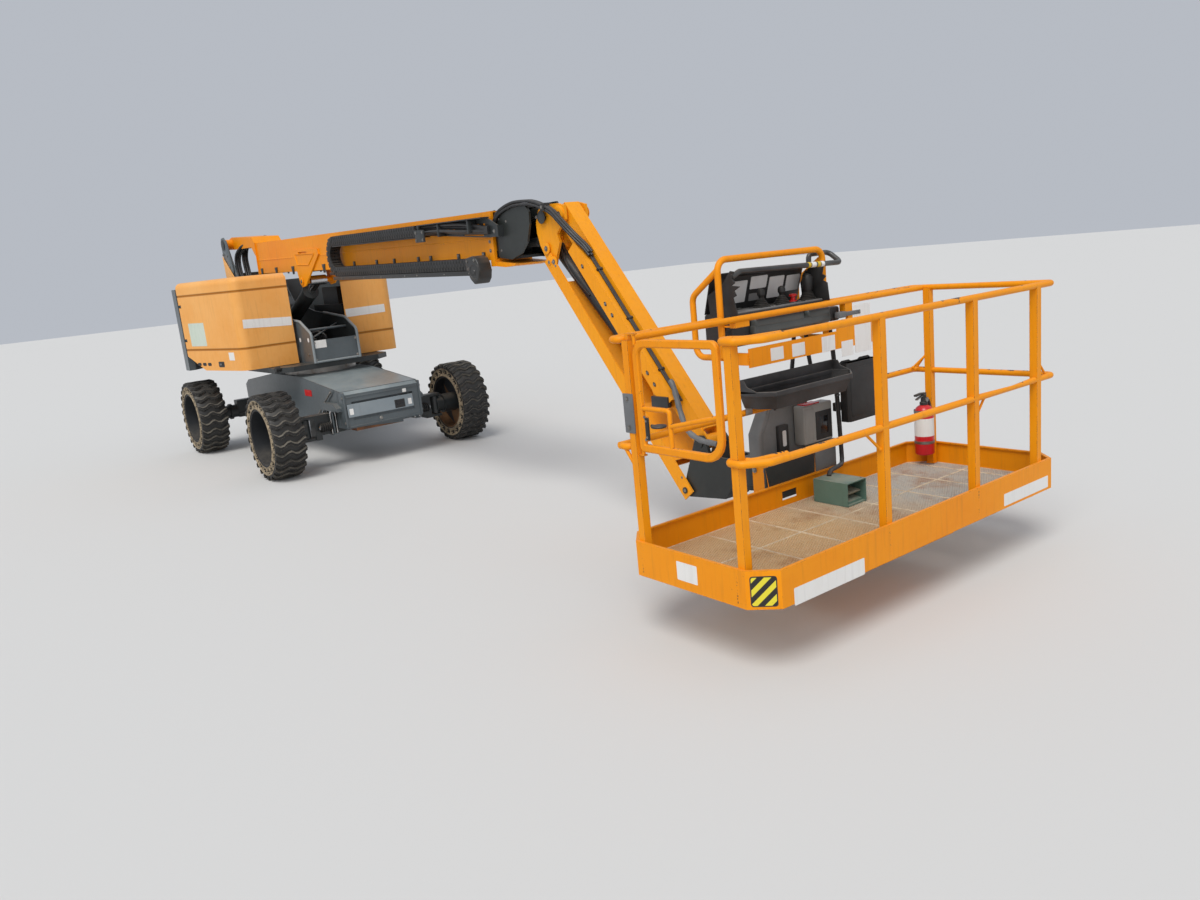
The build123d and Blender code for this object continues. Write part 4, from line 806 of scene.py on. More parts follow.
# raised lid: two folded sheets, with the pale instruction panel (blank) in it
s.prism([(6.65, 1.46), (6.658, 1.46), (6.714, 1.64), (6.8, 1.664), (6.798, 1.671), (6.708, 1.647)], "y", -0.392, 0.336, 0.002, 0)
lean = Vector((0.056, 0, 0.18)).normalized()
for y, w, at, h in ((-0.185, 0.15, 0.1, 0.12), (-0.02, 0.13, 0.14, 0.07), (0.125, 0.12, 0.1, 0.12), (0.262, 0.11, 0.11, 0.09)):
    s.plate(Vector((6.6605, y, 1.462)) + lean * at, (0, 1, 0), lean, w, h, t=0.003, r=0.006, m=1)
s.plate(Vector((6.6605, -0.02, 1.462)) + lean * 0.06, (0, 1, 0), lean, 0.12, 0.04, t=0.003, r=0.004, m=2)
# side plates with the folded, jagged front edge
left_plate = [(6.7, 1.455), (6.69, 1.56), (6.8, 1.612), (6.862, 1.68), (6.89, 1.676), (6.872, 1.64), (6.893, 1.62), (6.868, 1.606),
              (6.926, 1.6), (6.884, 1.58), (6.898, 1.556), (6.874, 1.545), (6.899, 1.455)]
s.prism(left_plate, "y", -0.398, -0.392, 0.0015, 0)
s.prism([(6.7, 1.455), (6.69, 1.56), (6.762, 1.65), (6.79, 1.665), (6.86, 1.64), (6.846, 1.6), (6.874, 1.588), (6.85, 1.566), (6.88, 1.552),
         (6.89, 1.455)], "y", 0.335, 0.341, 0.0015, 0)
s.prism([(-0.392, 1.462), (-0.33, 1.462), (-0.3, 1.5), (-0.338, 1.52), (-0.29, 1.548), (-0.345, 1.56), (-0.33, 1.6), (-0.392, 1.62)], "x",
        6.745, 6.749, 0, 0)
s.prism([(0.335, 1.462), (0.29, 1.47), (0.31, 1.51), (0.285, 1.54), (0.312, 1.56), (0.3, 1.6), (0.335, 1.63)], "x", 6.735, 6.739, 0, 0)
for y in (-0.34, 0.28):
    for z in (1.32, 1.43):
        s.bolt((6.852, y, z), AHEAD, 0.007, 0.005, 3)
s.box(6.815, 6.845, -0.4347, -0.397, 1.38, 1.42, 0.003, 0)
s.box(6.815, 6.845, 0.34, 0.3477, 1.38, 1.42, 0.002, 0)
s.done("console_box", "platform", [BLACK, PALEGREY, KEYPAD, STEEL, REDMARK], "console_steel", ("console",))

# the foam pad: two humps
s = Shape()
s.box(6.85, 6.897, -0.275, 0.34, 1.336, 1.392, 0.016, 0, segments=3)
s.box(6.85, 6.899, -0.268, 0.118, 1.372, 1.426, 0.02, 0, segments=4)
s.box(6.85, 6.899, 0.15, 0.338, 1.366, 1.424, 0.022, 0, segments=4)
s.box(6.85, 6.896, 0.33, 0.415, 1.337, 1.416, 0.014, 1, segments=3)
s.done("console_pad", "platform", [PAD, BLACK], "console_steel")

# joysticks: bellows and grips
for y, r, top in ((-0.093, 0.021, 1.566), (0.07, 0.021, 1.564), (0.285, 0.031, 1.609)):
    s = Shape()
    big = r > 0.025
    prof = [(0, 0.046)]
    for k in range(5):
        rr, t = 0.045 - (0.045 - r * 0.75) * (k + 1) / 5, 0.004 + 0.0085 * k
        prof += [(t, rr + 0.006), (t + 0.004, rr + 0.0065), (t + 0.0065, rr)]
    neck, end = prof[-1][0], top - PANEL_Z
    grip = ((0.006, 0.026), (0.02, 0.029), (0.05, 0.031)) if big else ((0.004, r * 0.62), (0.012, r * 0.66), (0.02, r * 0.98))
    cap = ((0.02, 0.0285), (0.006, 0.02), (0, 0.006)) if big else ((0.018, r), (0.006, r * 0.8), (0, r * 0.25))
    s.lathe((6.78, y, PANEL_Z), (0.04, 0, 1), prof + [(neck + t, q) for t, q in grip] + [(end - t, q) for t, q in cap], 28)
    s.box(6.732, 6.828, y - 0.048, y + 0.048, 1.464, 1.47, 0.004, 0)
    s.done("joystick_%d" % round(y * 1000 + 500), "platform", [BLACK2], "console_steel")

# grey foam-covered bar before the panel, patched with tape
s = Shape()
s.bar([(6.872, -0.395, 1.65), (6.872, -0.34, 1.672), (6.872, 0.472, 1.652), (6.788, 0.472, 1.712), (6.788, 0.3, 1.712), (6.788, 0.3, 1.66)],
      0.0145, 0.03, 16, 0)
for y0, y1, m in ((0.185, 0.205, 1), (0.212, 0.25, 2), (0.262, 0.286, 1), (0.292, 0.318, 2)):
    f = lambda y: 1.672 - 0.02 * (y + 0.34) / 0.812
    s.lathe((6.872, y0, f(y0)), (0, y1 - y0, f(y1) - f(y0)), [(0, 0.0148), (0.002, 0.0156), (y1 - y0 - 0.002, 0.0154), (y1 - y0, 0.0148)],
            18, m)
s.done("console_bar", "platform", [BAR, YELLOW, WHITE], "console_steel")

# clamp beside the pad; the pedal's cable in its clips, and the console's other cables
s = Shape()
s.box(6.905, 6.944, 0.352, 0.41, 1.352, 1.386, 0.005, 0)
s.box(6.93, 6.944, 0.4, 0.536, 1.358, 1.382, 0.004, 0)
s.bolt((6.944, 0.52, 1.37), AHEAD, 0.006, 0.004, 1, washer=False)
s.done("panel_clamp", "platform", [CONDUIT, STEEL], "console_steel")
s = Shape()
s.tube([(6.83, 0.4, 1.295), (6.835, 0.415, 1.15), (6.838, 0.424, 0.96), (6.838, 0.434, 0.8), (6.838, 0.44, 0.69), (6.838, 0.446, 0.56),
        (6.846, 0.435, 0.51), (6.88, 0.37, 0.506), (6.905, 0.27, 0.506), (6.93, 0.215, 0.5), (6.94, 0.2, 0.489)], 0.013, 12, 0)
for z in (1.08, 0.9, 0.64):
    s.lathe((6.838, 0.43 + (0.9 - z) * 0.03, z), UP, [(0, 0.0135), (0.001, 0.0155), (0.009, 0.0155), (0.01, 0.0135)], 12, 1)
s.tube([(6.8, -0.06, 0.905), (6.826, -0.075, 0.95), (6.85, -0.06, 0.99), (6.856, 0.02, 0.96), (6.835, 0.07, 0.93)], 0.008, 10, 0)
for path in ([(6.74, 0.3, 1.292), (6.745, 0.31, 1.15), (6.76, 0.33, 1.0), (6.77, 0.345, 0.9)],
             [(6.725, 0.22, 1.292), (6.715, 0.2, 1.1), (6.7, 0.18, 0.98), (6.69, 0.17, 0.9)]):
    s.tube(path, 0.012, 10, 0)
s.done("console_cable", "platform", [HOSE, CONDUIT], "console_steel")

# ---------------------------------------------------------------- tool tray, document box, load box
s = Shape()


def tray(t, rear=0.0):
    """The tray's outline, t inside of its outer faces and rear in from its rear."""
    return [(6.866 + rear, -0.397 + t), (6.99, -0.397 + t), (7.08 - t, -0.346 + t * 0.6), (7.08 - t, 0.262 - t * 0.6), (6.99, 0.366 - t),
            (6.866 + rear, 0.366 - t)]


foot = [(6.866, -0.36), (6.975, -0.36), (7.05, -0.318), (7.05, 0.235), (6.975, 0.33), (6.866, 0.33)]
rim, rim_in = tray(0.0), tray(0.01, 0.008)
s.stack(((rim, 1.04), (rim, 1.068), (rim_in, 1.068), (rim_in, 1.04)), 0.004, loop=True)
s.stack(((foot, 0.972), (tray(0.006), 1.046), (tray(0.012, 0.006), 1.062),
         ([(x + (0.006 if x < 6.87 else 0), y * 0.985) for x, y in foot], 0.978)))
s.box(6.866, 6.871, -0.397, 0.366, 1.03, 1.122, 0.002, 0)
for y0, y1 in ((-0.397, -0.391), (0.36, 0.366)):
    s.prism([(6.866, 1.05), (6.99, 1.06), (6.984, 1.07), (6.925, 1.09), (6.905, 1.12), (6.866, 1.122)], "y", y0, y1, 0.002, 0)
# moulded swages across the front wall and the drain boss
for y in (-0.215, -0.17, 0.13):
    s.prism([(7.046, 0.985), (7.053, 0.985), (7.074, 1.046), (7.066, 1.046)], "y", y - 0.008, y + 0.008, 0.002, 0)
s.cyl((6.96, -0.05, 0.964), (6.96, -0.05, 0.973), 0.022, 20, 0)
for y in (-0.33, 0.3):
    s.box(6.8645, 6.87, y - 0.025, y + 0.025, 0.93, 1.0, 0.002, 1)
    s.bolt((6.87, y, 0.99), AHEAD, 0.007, 0.005, 1)
s.done("tool_bin", "platform", [BIN, STEEL], "console_steel", ("tool_tray",))

s = Shape()
outer = [(6.864, 0.425), (6.912, 0.425), (6.924, 0.44), (6.924, 0.695), (6.912, 0.71), (6.864, 0.71)]
inner = [(6.868, 0.43), (6.91, 0.43), (6.919, 0.442), (6.919, 0.693), (6.91, 0.705), (6.868, 0.705)]
s.stack(((outer, 0.75), (outer, 1.088), (inner, 1.088), (inner, 0.756)), 0.004)
s.prism([(0.452, 0.775), (0.683, 0.775), (0.69, 0.79), (0.69, 1.04), (0.672, 1.058), (0.463, 1.058), (0.445, 1.04), (0.445, 0.79)], "x",
        6.9235, 6.9258, 0.0008, 0)
# the lid's thumb notch: the rear wall stands higher
s.prism([(0.43, 1.07), (0.705, 1.07), (0.705, 1.092), (0.69, 1.1), (0.61, 1.1), (0.59, 1.09), (0.53, 1.09), (0.51, 1.1), (0.445, 1.1),
         (0.43, 1.092)], "x", 6.864, 6.868, 0.001, 0)
s.done("manual_box", "platform", [BLACK2], "cover_plastic", ("document_box",))

s = Shape()
cover = [(-0.11, 0.606), (0.34, 0.606), (0.34, 0.76), (0.28, 0.905), (-0.02, 0.905), (-0.11, 0.76)]
s.prism(cover, "x", 6.63, 6.722, 0.014, 0, segments=3)
s.prism([(-0.085, 0.625), (0.315, 0.625), (0.315, 0.755), (0.265, 0.88), (-0.008, 0.88), (-0.085, 0.755)], "x", 6.72, 6.726, 0.002, 0)
for y, z in ((-0.095, 0.64), (0.325, 0.64), (-0.03, 0.885), (0.29, 0.885)):
    s.bolt((6.722, y, z), AHEAD, 0.008, 0.005, 2)
# load box: grey case with a red strip on top and a dark window
s.box(6.735, 6.812, 0.245, 0.43, 0.47, 0.65, 0.004, 0)
s.box(6.732, 6.812, 0.165, 0.412, 0.655, 0.878, 0.01, 1, segments=3)
s.box(6.74, 6.8, 0.196, 0.315, 0.876, 0.884, 0.002, 3)
s.box(6.811, 6.8145, 0.262, 0.398, 0.668, 0.832, 0.001, 4)
s.box(6.811, 6.8148, 0.3, 0.368, 0.7, 0.8, 0.001, 5)
s.box(6.811, 6.814, 0.172, 0.25, 0.69, 0.86, 0.001, 1)
s.box(6.716, 6.74, 0.25, 0.33, 0.62, 0.72, 0.002, 0)
s.box(6.718, 6.812, -0.06, 0.02, 0.62, 0.632, 0.002, 0)
# key switch case with a blank pale window, and a cable clip
s.box(6.724, 6.752, 0.02, 0.1, 0.632, 0.79, 0.006, 4)
s.plate((6.752, 0.06, 0.715), *FRONT, 0.03, 0.09, t=0.0015, r=0.008, m=6)
s.box(6.78, 6.812, 0.455, 0.505, 0.8, 0.85, 0.004, 4)
s.done("load_box", "platform", [COVER, CASE, STEEL, REDMARK, BLACK, WINDOW, PALEGREY], "cover_plastic", ("rotator_cover",))

# ---------------------------------------------------------------- pedal and extinguisher
s = Shape()
tread = [(6.91, 0.404), (7.075, 0.404), (7.1, 0.41), (7.108, 0.418), (7.1, 0.424), (6.96, 0.448), (6.93, 0.45), (6.91, 0.446)]
s.prism(tread, "y", 0.128, 0.257, 0.004, 0)
for k in range(6):
    x = 6.965 + 0.022 * k
    s.box(x, x + 0.006, 0.14, 0.245, 0.4455 - 0.171 * (x - 6.96), 0.4495 - 0.171 * (x - 6.96), 0.001, 0)
for y in (0.118, 0.267):
    s.box(6.905, 7.125, y - 0.004, y + 0.004, 0.3585, 0.3625, 0.001, 1)
for x, y in ((6.93, 0.128), (6.93, 0.257), (7.11, 0.128), (7.11, 0.257)):
    s.bolt((x, y, 0.488), UP, 0.0045, 0.0025, 2, washer=False)
s.done("pedal_tread", "platform", [TREAD, TEAL, STEEL], "pedal_paint")

s = Shape()
ex, ey = 6.958, 1.096
s.lathe((ex, ey, 0.43), UP, [(0, 0.046), (0.003, 0.054), (0.01, 0.0575), (0.118, 0.0575)], 36, 0)
s.lathe((ex, ey, 0.548), UP, [(0, 0.0575), (0.11, 0.0575)], 36, 1)
s.lathe((ex, ey, 0.658), UP, [(0, 0.0575), (0.03, 0.0575), (0.05, 0.053), (0.066, 0.043), (0.076, 0.028), (0.08, 0.02)], 36, 0)
s.lathe((ex, ey, 0.736), UP, [(0, 0.02), (0.004, 0.024), (0.018, 0.024), (0.022, 0.018), (0.05, 0.016), (0.066, 0.018), (0.07, 0.01)], 20,
        2)
s.prism([(ey - 0.086, 0.8), (ey - 0.03, 0.806), (ey + 0.016, 0.8), (ey + 0.018, 0.812), (ey - 0.03, 0.816), (ey - 0.088, 0.812)], "x",
        ex - 0.01, ex + 0.01, 0.002, 2)
s.prism([(ey - 0.074, 0.776), (ey - 0.026, 0.79), (ey + 0.012, 0.79), (ey + 0.012, 0.798), (ey - 0.028, 0.798), (ey - 0.078, 0.784)], "x",
        ex - 0.009, ex + 0.009, 0.002, 3)
s.lathe((ex + 0.016, ey, 0.772), AHEAD, [(0, 0.01), (0.002, 0.0145), (0.01, 0.0145), (0.011, 0.012)], 20, 3)
s.tube([(ex, ey + 0.018, 0.775), (ex + 0.004, ey + 0.044, 0.76), (ex + 0.006, ey + 0.058, 0.715), (ex + 0.006, ey + 0.06, 0.66),
        (ex + 0.004, ey + 0.058, 0.6)], 0.008, 10, 2)
s.done("fire_bottle", "platform", [RED, WHITE, BLACK, STEEL], "red_paint", ("extinguisher",))
s = Shape()
for z in (0.5, 0.69):
    s.lathe((ex, ey, z), UP, [(0, 0.058), (0.001, 0.0595), (0.017, 0.0595), (0.018, 0.058)], 36, 0, close=False)
s.box(ex - 0.015, ex + 0.015, ey + 0.052, ey + 0.058, 0.48, 0.73, 0.001, 0)
s.done("bottle_bracket", "platform", [STEEL], "red_paint")

# ---------------------------------------------------------------- energy chain and its carriers
HW = 0.15                                   # the boom's half width
CHAIN_Y, LINK, TRAY_OUT, LIP_OUT = (-0.282, -0.178), 0.045, -0.29, -0.296
CHAIN_MID, LOOP_U, UPPER_END, LOWER_END, TRAY_END = (0.09, -0.195), 1.571, 3.29, 4.12, 4.19


def boom_block(s, u0, u1, v0, v1, y0, y1, bevel=0.0, m=0):
    """A box that lies along the boom."""
    s.prism([boom_xz(u0, v0), boom_xz(u1, v0), boom_xz(u1, v1), boom_xz(u0, v1)], "y", y0, y1, bevel, m)


def boom_bolt(s, u, v, y, out, r, h, m=1, washer=True):
    """A bolt at (u, v) of the boom's side view, on its face at y."""
    x, z = boom_xz(u, v)
    s.bolt((x, y, z), (0, out, 0), r, h, m, washer)


def chain_link():
    """Side plates, each with a raised panel and a joint boss, and the bars across; the chain runs along X."""
    link = Shape()

    def rect(p, q0, q1):
        return [(-p, q0), (p, q0), (p, q1), (-p, q1)]
    for y, out in ((CHAIN_Y[0], -1), (CHAIN_Y[1], 1)):
        link.prism(rect(0.0205, -0.043, 0.043), "y", y - out * 0.01, y, 0.0015, 0)
        link.prism(rect(0.011, -0.03, 0.03), "y", y - out * 0.002, y + out * 0.0015, 0.0008, 0)
        link.lathe((0.0225, y, 0), (0, out, 0), [(-0.009, 0.015), (0.0025, 0.015), (0.0035, 0.011)], 10, 0)
    for q in (-0.0415, 0.0415):
        link.prism(rect(0.009, q - 0.0035, q + 0.0035), "y", CHAIN_Y[0] + 0.008, CHAIN_Y[1] - 0.008, 0, 0)
    return link


s = Shape()
stations = [(LOOP_U + LINK * (k + 0.5), CHAIN_MID[0], 0.0) for k in range(int((UPPER_END - LOOP_U) / LINK))]
stations += [(LOOP_U + LINK * (k + 0.5), CHAIN_MID[1], pi) for k in range(int((LOWER_END - LOOP_U) / LINK))]
arc_r, arc_v = (CHAIN_MID[0] - CHAIN_MID[1]) / 2, (CHAIN_MID[0] + CHAIN_MID[1]) / 2
TURNS = 10
for a in (pi / 2 + pi * (k + 0.5) / TURNS for k in range(TURNS)):
    stations.append((LOOP_U + arc_r * cos(a), arc_v + arc_r * sin(a), a + pi / 2))
spots = []
for u, v, a in stations:
    x, z = boom_xz(u, v)
    spots.append(Matrix.Translation((x, 0, z)) @ Matrix.Rotation(BOOM_A - a, 4, "Y"))
s.absorb(chain_link(), spots)
for off, y, r in ((0.018, -0.255, 0.013), (-0.014, -0.25, 0.015), (0.006, -0.222, 0.017), (-0.016, -0.203, 0.012)):
    path = [(UPPER_END, CHAIN_MID[0] + off), (LOOP_U, CHAIN_MID[0] + off)]
    path += [(LOOP_U + (arc_r + off) * cos(a), arc_v + (arc_r + off) * sin(a)) for a in (pi / 2 + pi * k / 8 for k in range(1, 8))]
    path = [boom_xz(*p) for p in path + [(LOOP_U, CHAIN_MID[1] - off), (LOWER_END, CHAIN_MID[1] - off)]]
    s.tube([(x, y, z) for x, z in path], r, 8, 1)
boom_block(s, LOOP_U, UPPER_END, 0.037, 0.044, TRAY_OUT, -HW, 0.001, 2)
boom_block(s, LOOP_U - 0.06, TRAY_END, -0.248, -0.241, TRAY_OUT, -HW, 0.001, 2)
boom_block(s, LOOP_U - 0.06, TRAY_END, -0.274, -0.241, LIP_OUT, TRAY_OUT, 0.001, 2)
for u in (1.7, 2.2, 2.56, 3.02, 3.24, 3.7, 4.08):
    boom_block(s, u, u + 0.04, -0.248, -0.112, -HW - 0.008, -HW, 0.001, 2)
    boom_bolt(s, u + 0.02, -0.13, -HW - 0.008, -1, 0.009, 0.007, 3)
    boom_bolt(s, u + 0.02, -0.258, LIP_OUT, -1, 0.007, 0.005, 3, washer=False)
# end housing: a drum on a cranked arm
ends = [(4.05, -0.148), (4.15, -0.132), (4.2, -0.15), (4.228, -0.19), (4.24, -0.245), (4.226, -0.3), (4.19, -0.335), (4.15, -0.338),
        (4.11, -0.31), (4.095, -0.262), (4.05, -0.244)]
s.prism([boom_xz(*p) for p in ends], "y", -0.292, -0.178, 0.01, 2, segments=3)
x, z = boom_xz(4.166, -0.248)
s.lathe((x, TRAY_OUT, z), RIGHTWARD, [(0, 0.074), (0.006, 0.072), (0.008, 0.052), (0.004, 0.048), (0.004, 0.02), (0.01, 0.016)], 32, 2)
for u, v in ((4.075, -0.17), (4.09, -0.225), (4.18, -0.163)):
    boom_bolt(s, u, v, -0.292, -1, 0.008, 0.006, 3)
s.done("energy_chain", "boom", [CHAIN, HOSE, TRAYMETAL, STEEL], "chain_plastic", ("chain_carrier",), auto=30)

s = Shape()
boom_block(s, 3.305, 3.455, 0.0, 0.095, -0.297, -0.283, 0.003, 0)
for u, v in ((3.325, 0.018), (3.325, 0.076), (3.435, 0.018), (3.435, 0.076)):
    boom_bolt(s, u, v, -0.297, -1, 0.008, 0.007)
for u, v in ((3.52, 0.095), (3.9, 0.095), (4.2, 0.03), (4.35, 0.03)):
    boom_bolt(s, u, v, -0.196, -1, 0.01, 0.008)
# hoses that leave the chain's moving end towards the nose
for k, (y, v) in enumerate(((-0.24, 0.112), (-0.225, 0.092), (-0.25, 0.07), (-0.214, 0.06))):
    pts = [(*boom_xz(3.3, v), y), (*boom_xz(3.6, v + 0.004), y), (*boom_xz(3.95, v - 0.01 - 0.004 * k), y + 0.01),
           (*boom_xz(4.3, 0.06 - 0.012 * k), -0.212)]
    s.tube([(x, yy, z) for x, z, yy in pts], 0.0125, 8, 2)
for u in (3.62, 4.08):
    boom_block(s, u, u + 0.022, 0.03, 0.128, -0.264, -0.196, 0.003, 0)
s.done("chain_clamps", "fly", [DARK, STEEL, HOSE], "dark_paint")

# ---------------------------------------------------------------- boom: bracket, tabs, pin caps, bolts


def pin_cap(s, pin, y, side, r0, r1, rise, n=24, m=0):
    """A chamfered end plate of a pin at (x, z), on the side's face at y."""
    s.lathe((pin[0], side * y, pin[1]), (0, side, 0), [(0, r0), (rise, r0), (rise + 0.002, r1)], n, m)


s = Shape()
SEAM_V, COLLAR_U, SCREW_U = -0.022, 4.208, 4.222
for side in (-1, 1):
    rim = [(0.225, 2.14), (0.772, 2.118), (0.575, 2.012), (0.262, 2.028)]
    for (x0, z0), (x1, z1) in zip(rim, rim[1:] + rim[:1]):
        s.cyl((x0, side * 0.1665, z0), (x1, side * 0.1665, z1), 0.0065, 8)
    pin_cap(s, LIFT_EYE, 0.172, side, 0.04, 0.034, 0.005)
    s.bolt((LIFT_EYE[0], side * 0.178, LIFT_EYE[1]), (0, side, 0), 0.014, 0.01, 1)
    for x in (-0.95, -0.46, 0.07, 0.95, 1.28):
        z = boom_xz(x, -0.175)[1]
        tab = [(x - 0.04, z + 0.058), (x + 0.04, z + 0.058), (x + 0.018, z - 0.028), (x - 0.018, z - 0.028)]
        s.prism(tab, "y", side * 0.1495, side * 0.158, 0.001, 2)
    # slide pad screws in the front collar
    for v in (0.105, 0.04, -0.04, -0.105):
        boom_bolt(s, SCREW_U, v, side * 0.164, side, 0.009, 0.007)
    # the long seam of the box, where its two pressings meet
    for ends in ((-1.08, 0.13), (0.9, 4.19)):
        (x0, z0), (x1, z1) = [boom_xz(u, SEAM_V) for u in ends]
        s.cyl((x0, side * HW, z0), (x1, side * HW, z1), 0.0042, 10, 3)
    # welds along the bracket's top and the collar's rear edge
    for line in ([(0.14, 2.185), (0.87, 2.16), (0.88, 2.105)], [boom_xz(COLLAR_U, -0.17), boom_xz(COLLAR_U, 0.17)]):
        s.weld([(x, side * (HW + 0.001), z) for x, z in line], 0.005)
x, z = boom_xz(SCREW_U, 0.175)
for y in (-0.1, -0.04, 0.04, 0.1):
    s.bolt((x, y, z), (sin(BOOM_A), 0, cos(BOOM_A)), 0.009, 0.007, 1)
# pin caps at the tail
for side in (-1, 1):
    pin_cap(s, PIVOT, 0.274, side, 0.062, 0.054, 0.005, 28, 2)
s.done("boom_trim", "boom", [ORANGE, STEEL, DARK, BRIGHT], "boom_paint")

s = Shape()
for side in (-1, 1):
    s.lathe((KNUCKLE_PIN[0], side * 0.116, KNUCKLE_PIN[1]), (0, side, 0), [(0, 0.044), (0.006, 0.044), (0.008, 0.038), (0.01, 0.02)], 28, 0)
    s.bolt((KNUCKLE_PIN[0] - 0.062, side * 0.116, KNUCKLE_PIN[1] + 0.004), (0, side, 0), 0.008, 0.007, 1)
    for u, v in ((4.345, 0.11), (4.345, -0.11), (4.44, 0.09)):
        boom_bolt(s, u, v, side * 0.141, side, 0.01, 0.008)
s.done("nose_trim", "fly", [DARK, STEEL], "dark_paint")

# ---------------------------------------------------------------- hoses at the tail, the nose and the knuckle
FOUR_HOSES = ((-0.012, 0.01), (0.012, 0.01), (-0.012, -0.012), (0.012, -0.012))


def hose_bundle(name, points, spread, r):
    """Hoses that keep beside each other: spread is (y, z) offsets."""
    s = Shape()
    for dy, dz in spread:
        s.tube([(x, y + dy, z + dz) for x, y, z in points], r, 10, 0)
    obj = s.done(name, None, [HOSE], "chain_plastic")
    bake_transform(obj)


hose_bundle("nose_hoses", [(4.3, -0.15, 2.12), (4.367, -0.146, 2.184), (4.54, -0.143, 2.226), (4.728, -0.142, 2.222), (4.83, -0.142, 2.205),
                           (4.938, -0.142, 2.17)],
            FOUR_HOSES, 0.0105)
hose_bundle("jib_hoses", [(4.938, -0.142, 2.17), (5.02, -0.142, 2.13), (5.094, -0.142, 2.071), (5.17, -0.14, 2.008), (5.24, -0.128, 1.944),
                          (5.29, -0.106, 1.89), (5.33, -0.094, 1.838)],
            FOUR_HOSES, 0.0105)
hose_bundle("jib_inner_hoses", [(4.822, -0.018, 1.996), (4.87, -0.02, 1.95), (4.921, -0.022, 1.887), (4.96, -0.024, 1.81),
                                (5.023, -0.026, 1.722), (5.11, -0.028, 1.64), (5.209, -0.03, 1.564)],
            ((-0.011, 0.0), (0.013, 0.004)), 0.0085)
hose_bundle("tail_hoses_right", [(-1.3, -0.19, 1.56), (-1.42, -0.195, 1.7), (-1.58, -0.2, 1.9), (-1.66, -0.2, 2.1), (-1.64, -0.19, 2.24),
                                 (-1.54, -0.15, 2.33), (-1.38, -0.12, 2.36)],
            ((-0.022, 0.0), (0.004, 0.01), (0.026, -0.006)), 0.014)
hose_bundle("tail_hoses", [(-1.4, -0.12, 1.64), (-1.47, -0.12, 1.72), (-1.6, -0.105, 1.9), (-1.7, -0.09, 2.08), (-1.74, -0.08, 2.22),
                           (-1.65, -0.075, 2.33), (-1.48, -0.07, 2.37)],
            ((-0.022, 0.0), (0.004, 0.01), (0.028, -0.004)), 0.013)
s = Shape()
s.box(4.915, 4.962, -0.17, -0.114, 2.145, 2.196, 0.004, 0)
s.bolt((4.938, -0.17, 2.17), RIGHTWARD, 0.008, 0.007, 1)
s.done("knuckle_clamp", "knuckle", [BLACK, STEEL], "dark_paint")

# ---------------------------------------------------------------- knuckle and jib: pin caps, hose guard's bolts and clamps
s = Shape()
for side in (-1, 1):
    for (x, z), r in (((5.05, 2.112), 0.03), ((4.862, 1.898), 0.026), ((4.934, 1.805), 0.026)):
        pin_cap(s, (x, z), 0.109, side, r + 0.012, r, 0.004)
        s.bolt((x, side * 0.115, z), (0, side, 0), 0.012, 0.009, 1)
s.done("knuckle_pins", "knuckle", [BRIGHT, STEEL], "boom_paint")

ARM_TOP, ARM_END = JIB_UP_PIN, (JIB_UP_PIN[0] + ARM_RUN, JIB_UP_PIN[1] - ARM_DROP)
LEAN = Matrix.Rotation(ARM_TURN, 4, "Y")
s = Shape()
for t in (0.43, 0.75, 0.845, 1.31, 1.4, 1.56):
    x, z = along(ARM_TOP, ARM_END, t, -0.03)
    s.box(x - 0.016, x + 0.016, -0.1365, -0.1335, z - 0.0055, z + 0.0055, 0.001, 0, LEAN)
    s.bolt((x, -0.1345, z), RIGHTWARD, 0.008, 0.006, 1)
x, z = ARM_TOP
for side in (-1, 1):
    s.lathe((x, side * 0.1, z), (0, side, 0), [(-0.02, 0.06), (0.004, 0.06), (0.008, 0.052), (0.01, 0.024)], 28, 2)
# sensor plate, its block and the grey conduit that leads to the jib head
plate = [(5.806, 1.11), (5.877, 1.112), (5.995, 0.947), (5.955, 0.915), (5.882, 0.877)]
s.prism(plate, "y", -0.118, -0.112, 0.001, 2)
s.box(5.866, 6.02, -0.146, -0.113, 0.871, 0.939, 0.006, 3)
for x, z in ((5.832, 1.085), (5.958, 0.95)):
    s.bolt((x, -0.118, z), RIGHTWARD, 0.007, 0.006, 1)
# hoses along the top of the guard
for k, y in enumerate((-0.07, -0.088)):
    ends = [along(ARM_TOP, ARM_END, t, 0.034 + 0.003 * k) for t in (0.33, 1.585)]
    s.tube([(ends[0][0], y, ends[0][1]), (ends[1][0], y, ends[1][1])], 0.0075, 10, 3)
for t in (0.52, 0.93, 1.34):
    x, z = along(ARM_TOP, ARM_END, t, 0.036)
    s.box(x - 0.008, x + 0.008, -0.1, -0.058, z - 0.012, z + 0.012, 0.003, 0, LEAN)
s.done("jib_guard_trim", "jib_upper", [BLACK, STEEL, BRIGHT, HOSE], "boom_paint")

s = Shape()
conduit = [(6.04, -0.128, 1.04), (6.069, -0.13, 1.001), (6.119, -0.14, 0.868), (6.183, -0.15, 0.753), (6.295, -0.158, 0.705),
           (6.43, -0.15, 0.69)]
s.tube(conduit, 0.017, 12, 0, profile=lambda t: 1.0 + 0.1 * sin(2 * pi * t * 62))
obj = s.done("head_conduit", None, [CONDUIT], "chain_plastic")
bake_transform(obj)

LOW_END = (JIB_LOW_PIN[0] + ARM_RUN, JIB_LOW_PIN[1] - ARM_DROP)
s = Shape()
for side in (-1, 1):
    for x, z in (JIB_LOW_PIN, LOW_END):
        pin_cap(s, (x, z), 0.112, side, 0.042, 0.036, 0.004)
        s.bolt((x, side * 0.118, z), (0, side, 0), 0.013, 0.009, 1)
    for t in (0.06, 1.8):
        x, z = along(JIB_LOW_PIN, LOW_END, t, 0.03)
        s.bolt((x, side * 0.112, z), (0, side, 0), 0.009, 0.007, 1)
s.done("jib_lower_pins", "jib_lower", [BRIGHT, STEEL], "boom_paint")

